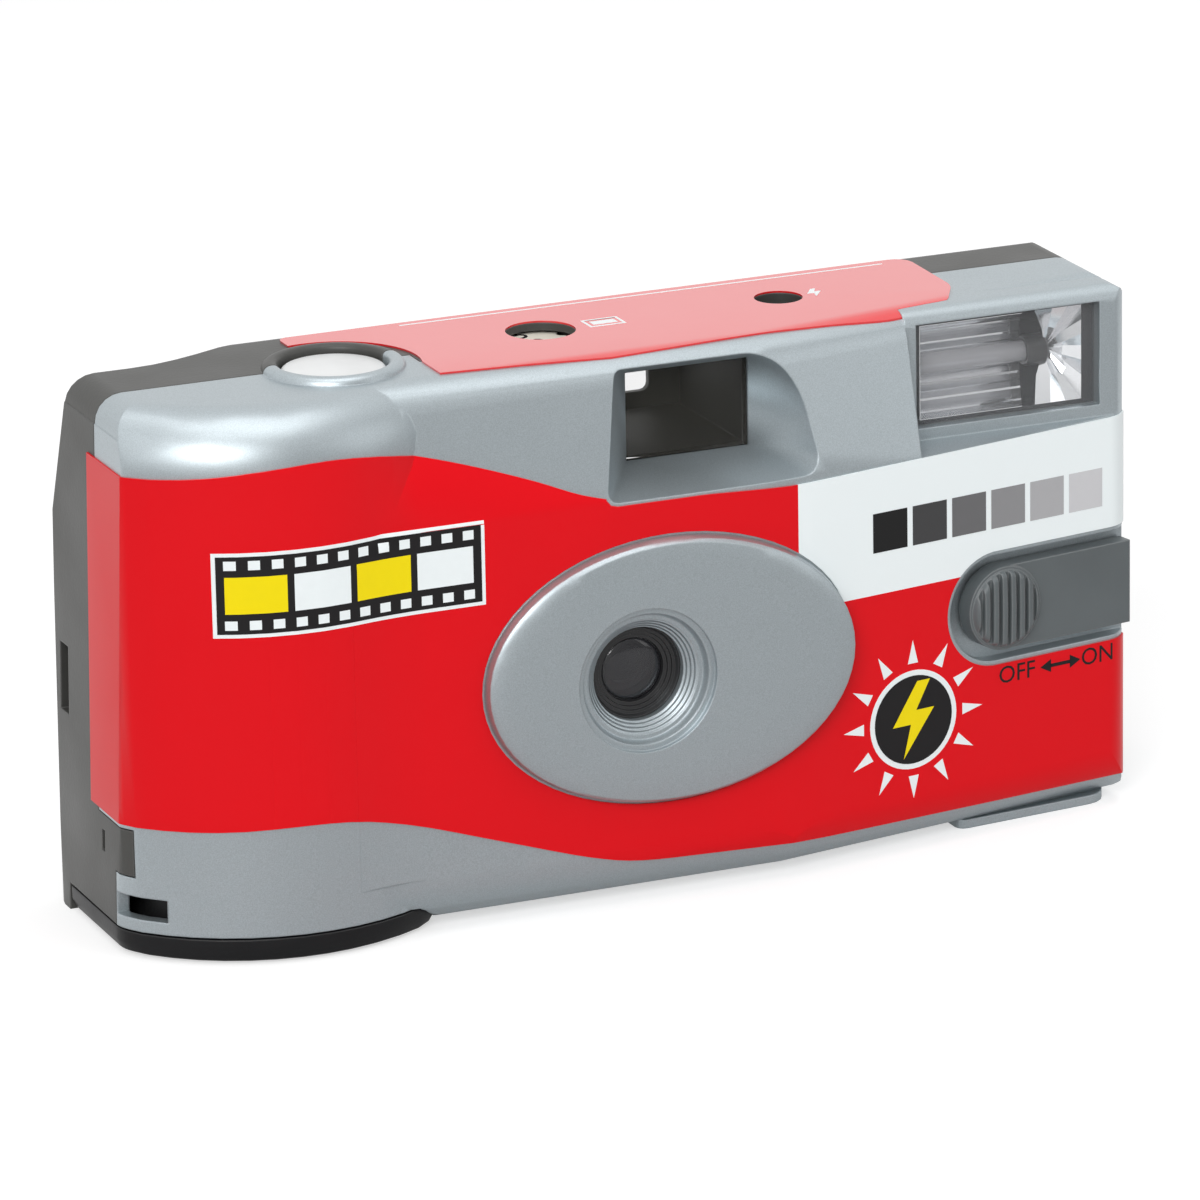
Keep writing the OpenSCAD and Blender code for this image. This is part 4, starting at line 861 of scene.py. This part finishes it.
class BuildFlash(bpy.types.Operator):
    """Make the flash window, its ribbed reflector and the tube"""
    bl_idname = "film_camera.build_flash"
    bl_label = "Build Flash"

    def execute(self, context):
        low, high = (Vector(corner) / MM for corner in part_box("flash_window"))
        shape = block(low, high, 0.25)
        pane = clear_plastic("pane_plastic", (0.9, 0.92, 0.95), 0.05)
        finish_piece("flash_pane", shape, "camera", [pane], ("flash_window",))
        low, high = (Vector(corner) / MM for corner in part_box("flash_reflector"))
        middle = (low + high) / 2
        middle.y = low.y
        self.mirror(middle)
        self.backing(middle)
        self.tube()
        return {"FINISHED"}

    def trough(self, middle, deep, tall, fold):
        """Half-round channel as a chain of edges at x = 0, in millimetres"""
        shape = bmesh.new()
        steps = 72
        chain = []
        for step in range(steps + 1):
            turn = math.pi * (step / steps - 0.5)
            inward = fold if step % 8 < 4 else 0.0
            place = (0.0, (deep - inward) * math.cos(turn), (tall - inward) * math.sin(turn))
            chain.append(shape.verts.new(middle + Vector(place)))
        for first, second in zip(chain, chain[1:]):
            shape.edges.new((first, second))
        grown = bmesh.ops.extrude_edge_only(shape, edges=shape.edges[:])
        far = {item for item in grown["geom"] if isinstance(item, bmesh.types.BMVert)}
        return shape, chain, far

    def mirror(self, middle):
        """Ribbed channel and, at the outer end, a crinkled fan round the tube"""
        half = 5.3
        reach = 9.5
        shape, near, far = self.trough(middle, 5.6, half, 0.09)
        for vert in near:
            vert.co.x = middle.x - 9.9
        # The channel's outer end is cut on a slant so that a band of the black holder shows before the fan: a
        # dark band placed as a painted reflection of a dark end wall in the mirror.
        for vert in far:
            vert.co.x = middle.x + 2.3 + 0.42 * (vert.co.y - middle.y)
        closing = [edge for edge in shape.edges if len(edge.link_faces) == 1 and edge.verts[0] in near
                   and edge.verts[1] in near]
        bmesh.ops.contextual_create(shape, geom=closing)
        rim = [(x, half) for x in (3.9, 6.0, 7.8)]
        rim += [(reach, z) for z in (half, 3.6, 2.0, 0.7, -0.9, -2.6, -4.0, -half)]
        rim += [(x, -half) for x in (7.6, 5.8, 3.9)]
        apex = shape.verts.new(middle + Vector((6.6, 3.4, 0.0)))
        ring = [shape.verts.new(middle + Vector((x, 0.15, z))) for x, z in rim]
        for first, second in zip(ring, ring[1:]):
            shape.faces.new((apex, second, first))
        spokes = [edge for edge in apex.link_edges]
        cut = bmesh.ops.subdivide_edges(shape, edges=spokes, cuts=1)
        fresh = [item for item in cut["geom_inner"] if isinstance(item, bmesh.types.BMVert)]
        fresh.sort(key=lambda vert: vert.co.z)
        for index, vert in enumerate(fresh):
            vert.co.y += 0.35 if index % 2 else -0.25
            vert.co.x += 0.2 if index % 3 else -0.25
        bmesh.ops.scale(shape, vec=(MM, MM, MM), verts=shape.verts)
        bmesh.ops.solidify(shape, geom=shape.faces[:], thickness=0.08 * MM)
        foil = bright_foil()
        finish_piece("flash_mirror", shape, "camera", [foil], ("flash_reflector",), 0.2)

    def backing(self, middle):
        """Black holder behind the mirror and its frame behind the pane"""
        shape, near, far = self.trough(middle, 5.95, 5.5, 0.0)
        for vert in near:
            vert.co.x = middle.x + 1.2
        for vert in far:
            vert.co.x = middle.x + 9.9
        bmesh.ops.scale(shape, vec=(MM, MM, MM), verts=shape.verts)
        bmesh.ops.solidify(shape, geom=shape.faces[:], thickness=0.1 * MM)
        outer, half = 10.9, 5.75
        left, right = -10.7, 9.5
        bars = [(-outer, -half, left, half), (right, -half, outer, half)]
        bars += [(left, -half, right, -5.3), (left, 5.55, right, half)]
        for x0, z0, x1, z1 in bars:
            corner = middle + Vector((x0, 0.02, z0))
            merge(shape, block(corner, middle + Vector((x1, 0.3, z1)), 0.03, 1))
        black = moulded("holder_black", (0.012, 0.012, 0.014), 0.4, 2600.0, 0.008, 0.2, 0.05 * MM)
        finish_piece("flash_holder", shape, "camera", [black])

    def tube(self):
        """Glass tube and the rubber sleeve at its outer end"""
        low, high = (Vector(corner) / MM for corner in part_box("flash_tube"))
        middle = (low + high) / 2
        radius = 1.15
        neck = radius * 0.8
        shoulder = 0.4
        start = low.x - middle.x
        stop = 5.4
        glass = [(0.0, start), (neck, start), (radius, start + shoulder)]
        glass += [(radius, stop - shoulder), (neck, stop), (0.0, stop)]
        shape = turned(glass, middle, (1, 0, 0), 40)
        clear = clear_plastic("tube_glass", (0.42, 0.42, 0.44), 0.55, 0.08)
        finish_piece("flash_glass", shape, "camera", [clear], ("flash_tube",))
        bore = radius + 0.04
        bulge = radius + 0.55
        sleeve = [(bore, 3.9), (radius + 0.4, 3.9), (bulge, 4.3), (bulge, 6.2)]
        sleeve += [(radius + 0.3, 6.5), (bore, 6.5), (bore, 3.9)]
        shape = turned(sleeve, middle, (1, 0, 0), 40)
        rubber = moulded("tube_rubber", (0.02, 0.02, 0.021), 0.35, 2600.0, 0.01, 0.2, 0.05 * MM)
        finish_piece("flash_sleeve", shape, "camera", [rubber])


class BuildControls(bpy.types.Operator):
    """Finish the shutter button, flash switch and advance wheel"""
    bl_idname = "film_camera.build_controls"
    bl_label = "Build Controls"

    def execute(self, context):
        button = moulded("button_plastic", tuple(colours().button), 0.34, 1800.0, 0.006, 0.1)
        dress(["shutter_button"], button)
        switch = moulded("switch_plastic", tuple(colours().switch), 0.38, 2400.0, 0.012, 0.5)
        dress(["flash_switch"], switch)
        wheel = moulded("wheel_plastic", (0.018, 0.018, 0.019), 0.4, 2200.0, 0.012, 0.4)
        dress(["thumbwheel"], wheel)
        return {"FINISHED"}


class BuildCounter(bpy.types.Operator):
    """Finish the counter dial and lay its figures on it"""
    bl_idname = "film_camera.build_counter"
    bl_label = "Build Counter"

    def execute(self, context):
        ring = 6.2
        marks = 10
        frames_per_mark = 3
        dress(["counter_dial"], moulded("dial_plastic", (0.82, 0.79, 0.69), 0.42, 1600.0, 0.008, 0.1))
        low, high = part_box("counter_dial")
        middle = (Vector(low) + Vector(high)) / 2 / MM
        sheet = bmesh.new()
        tree = carrier_tree("counter_dial")
        for step in range(marks):
            turn = 2.0 * math.pi * step / marks
            x = middle.x + ring * math.cos(turn)
            y = middle.y + ring * math.sin(turn)
            figure = lettering(str(frames_per_mark * step), sizes().figure / MM, x, y, turn)
            lay(sheet, figure, tuple(colours().ink), 0, tree, Vector((0, 0, -1)), 0)
        finish_piece("counter_figures", sheet, "counter_dial", [printed_ink()])
        return {"FINISHED"}


class DressInside(bpy.types.Operator):
    """Finish the frame, film, winding work, shutter, flash circuit and cell"""
    bl_idname = "film_camera.dress_inside"
    bl_label = "Dress Inside"

    def execute(self, context):
        self.frame_and_film()
        self.winding_work()
        self.flash_circuit()
        return {"FINISHED"}

    def frame_and_film(self):
        dull = tuple(part * 0.6 for part in colours().black)
        dress(["main_frame"], moulded("frame_plastic", dull, 0.55, 1800.0, 0.02, 0.1))
        spools = moulded("spool_plastic", (0.02, 0.02, 0.021), 0.4, 2400.0, 0.01, 0.3)
        dress(["supply_spool", "cassette_spool"], spools)
        dark = (0.02, 0.02, 0.022)
        bands = [(0.0, dark), (14.0, (0.6, 0.6, 0.58)), (37.0, dark)]
        lacquer = banded("cassette_lacquer", bands, "Z", 0.3, 0.4)
        dress(["cassette_shell"], lacquer)
        dress(["cassette_caps"], metal("cap_steel", (0.3, 0.3, 0.3), 0.35))
        edge = (0.1, 0.062, 0.042)
        film = banded("film_base", [(0.0, edge), (11.2, (0.13, 0.085, 0.06)), (40.4, edge)], "Z", 0.22)
        dress(["film_strip"], film)

    def winding_work(self):
        blade = moulded("blade_black", (0.008, 0.008, 0.009), 0.55, 4000.0, 0.006, 0.2)
        dress(["shutter_blade"], blade)
        levers = moulded("lever_plastic", (0.72, 0.69, 0.6), 0.42, 2000.0, 0.01, 0.15)
        dress(["ratchet_pawl", "sprocket", "release_lever", "cocking_lever"], levers)
        dress(["shutter_spring"], metal("spring_steel", (0.62, 0.62, 0.62), 0.28))

    def flash_circuit(self):
        brass = metal("contact_brass", (0.72, 0.6, 0.32), 0.3)
        dress(["battery_contacts", "switch_contact"], brass)
        paper = banded("board_paper", [(0.0, (0.3, 0.19, 0.07)), (40.5, (0.34, 0.22, 0.085))], "Z", 0.5)
        dress(["flash_board"], paper)
        sleeve = banded("can_sleeve", [(0.0, (0.012, 0.012, 0.016)), (40.9, (0.5, 0.5, 0.5))], "Z", 0.3)
        dress(["capacitor"], sleeve)
        core = (0.03, 0.03, 0.03)
        tape = banded("winding_tape", [(0.0, core), (19.4, (0.62, 0.42, 0.05)), (25.0, core)], "Z", 0.4)
        dress(["transformer"], tape)
        dress(["ready_lamp"], clear_plastic("lamp_glass", (0.9, 0.42, 0.2), 0.8, 0.1))
        bands = [(-60.0, (0.45, 0.45, 0.45)), (-21.0, (0.03, 0.035, 0.045))]
        bands += [(8.0, (0.5, 0.36, 0.1)), (21.0, (0.5, 0.5, 0.5))]
        dress(["battery"], banded("cell_sleeve", bands, "X", 0.32, 0.3))


class BuildStage(bpy.types.Operator):
    """Set the pale floor, the soft lamps, the world and the camera"""
    bl_idname = "film_camera.build_stage"
    bl_label = "Build Stage"

    def execute(self, context):
        scene = context.scene
        scene.view_settings.view_transform = "Standard"
        self.floor(scene)
        self.world(scene)
        for name, place, size, power in LAMPS:
            self.lamp(scene, name, place, size, power)
        self.camera(scene)
        return {"FINISHED"}

    def floor(self, scene):
        pale = (0.6, 0.6, 0.6)
        shade = (0.58, 0.58, 0.58)
        glow = 0.55
        finish, tree, shader = start_finish("pale_floor", pale, 0.9)
        cloud = spread(tree, noise(tree, 3.0), 0.3, 0.7)
        tree.links.new(mix_colour(tree, cloud, pale, shade), shader.inputs["Base Color"])
        shader.inputs["Specular IOR Level"].default_value = 0.0
        path = add(tree, "ShaderNodeLightPath")
        behind = spread(tree, axes(tree)["Y"], -0.02, 0.02)
        shown = math_node(tree, "MAXIMUM", path.outputs["Is Glossy Ray"], path.outputs["Is Transmission Ray"])
        mirrored = math_node(tree, "MULTIPLY", shown, behind)
        seen = math_node(tree, "MAXIMUM", path.outputs["Is Camera Ray"], mirrored)
        shader.inputs["Emission Color"].default_value = (1.0, 1.0, 1.0, 1.0)
        tree.links.new(math_node(tree, "MULTIPLY", seen, glow), shader.inputs["Emission Strength"])
        shape = bmesh.new()
        bmesh.ops.create_grid(shape, x_segments=8, y_segments=8, size=4.0)
        mesh = bpy.data.meshes.new("floor")
        shape.to_mesh(mesh)
        shape.free()
        mesh.materials.append(finish)
        floor = bpy.data.objects.new("floor", mesh)
        scene.collection.objects.link(floor)

    def world(self, scene):
        world = bpy.data.worlds.new("studio")
        scene.world = world
        world.use_nodes = True
        tree = world.node_tree
        tree.nodes.clear()
        output = add(tree, "ShaderNodeOutputWorld")
        light = add(tree, "ShaderNodeBackground")
        light.inputs["Color"].default_value = (1.0, 1.0, 1.0, 1.0)
        tree.links.new(light.outputs["Background"], output.inputs["Surface"])
        path = add(tree, "ShaderNodeLightPath")
        place = add(tree, "ShaderNodeTexCoord")
        split = add(tree, "ShaderNodeSeparateXYZ")
        tree.links.new(place.outputs["Generated"], split.inputs[0])
        lean = math_node(tree, "MULTIPLY_ADD", split.outputs["X"], -0.9, split.outputs["Y"])
        gloss = spread(tree, lean, -1.25, -0.35, 0.3, 1.0)
        plain = math_node(tree, "MAXIMUM", path.outputs["Is Camera Ray"], path.outputs["Is Transmission Ray"])
        shiny = math_node(tree, "MULTIPLY", path.outputs["Is Glossy Ray"], gloss)
        direct = math_node(tree, "MAXIMUM", plain, shiny)
        seen = math_node(tree, "MAXIMUM", plain, path.outputs["Is Glossy Ray"])
        other = math_node(tree, "SUBTRACT", 1.0, seen)
        soft_light = 0.4
        strength = math_node(tree, "MULTIPLY_ADD", other, soft_light, direct)
        tree.links.new(strength, light.inputs["Strength"])

    def lamp(self, scene, name, place, size, power):
        data = bpy.data.lights.new(name, "AREA")
        data.shape = "SQUARE"
        data.size = size
        data.energy = power
        lamp = bpy.data.objects.new(name, data)
        lamp.location = place
        aim = Vector((0.0, 0.0, 0.03)) - Vector(place)
        lamp.rotation_euler = aim.to_track_quat("-Z", "Y").to_euler()
        scene.collection.objects.link(lamp)

    def camera(self, scene):
        data = bpy.data.cameras.new("camera")
        data.sensor_width = 36.0
        data.lens = 240.0
        data.clip_start = 0.01
        data.clip_end = 50.0
        eye = bpy.data.objects.new("photo_camera", data)
        right = EYE_RIGHT.normalized()
        forward = EYE_FORWARD.normalized()
        up = right.cross(forward).normalized()
        right = forward.cross(up).normalized()
        turn = Matrix((right, up, -forward)).transposed().to_4x4()
        eye.matrix_world = Matrix.Translation(EYE) @ turn
        scene.collection.objects.link(eye)
        scene.camera = eye


STEPS = (DressCovers, PrintLabels, BuildViewfinder, BuildTakingLens, BuildFlash, BuildControls, BuildCounter,
         DressInside, BuildStage)


class FilmCameraPanel(bpy.types.Panel):
    """Lists the camera's building steps and values"""
    bl_idname = "VIEW3D_PT_film_camera"
    bl_label = "Film Camera"
    bl_space_type = "VIEW_3D"
    bl_region_type = "UI"
    bl_category = "Film Camera"

    def draw(self, context):
        for step in STEPS:
            self.layout.operator(step.bl_idname)
        for group in (colours(), sizes()):
            for name in group.__annotations__:
                self.layout.prop(group, name)


CLASSES = (FilmCameraColours, FilmCameraSizes, *STEPS, FilmCameraPanel)


def register():
    for part in CLASSES:
        bpy.utils.register_class(part)
    bpy.types.Scene.film_camera_colours = bpy.props.PointerProperty(type=FilmCameraColours)
    bpy.types.Scene.film_camera_sizes = bpy.props.PointerProperty(type=FilmCameraSizes)


def unregister():
    del bpy.types.Scene.film_camera_sizes
    del bpy.types.Scene.film_camera_colours
    for part in reversed(CLASSES):
        bpy.utils.unregister_class(part)


def main():
    register()
    bpy.ops.film_camera.dress_covers()
    bpy.ops.film_camera.print_labels()
    bpy.ops.film_camera.build_viewfinder()
    bpy.ops.film_camera.build_taking_lens()
    bpy.ops.film_camera.build_flash()
    bpy.ops.film_camera.build_controls()
    bpy.ops.film_camera.build_counter()
    bpy.ops.film_camera.dress_inside()
    bpy.ops.film_camera.build_stage()
    bpy.context.view_layer.update()


if __name__ == "__main__":
    main()
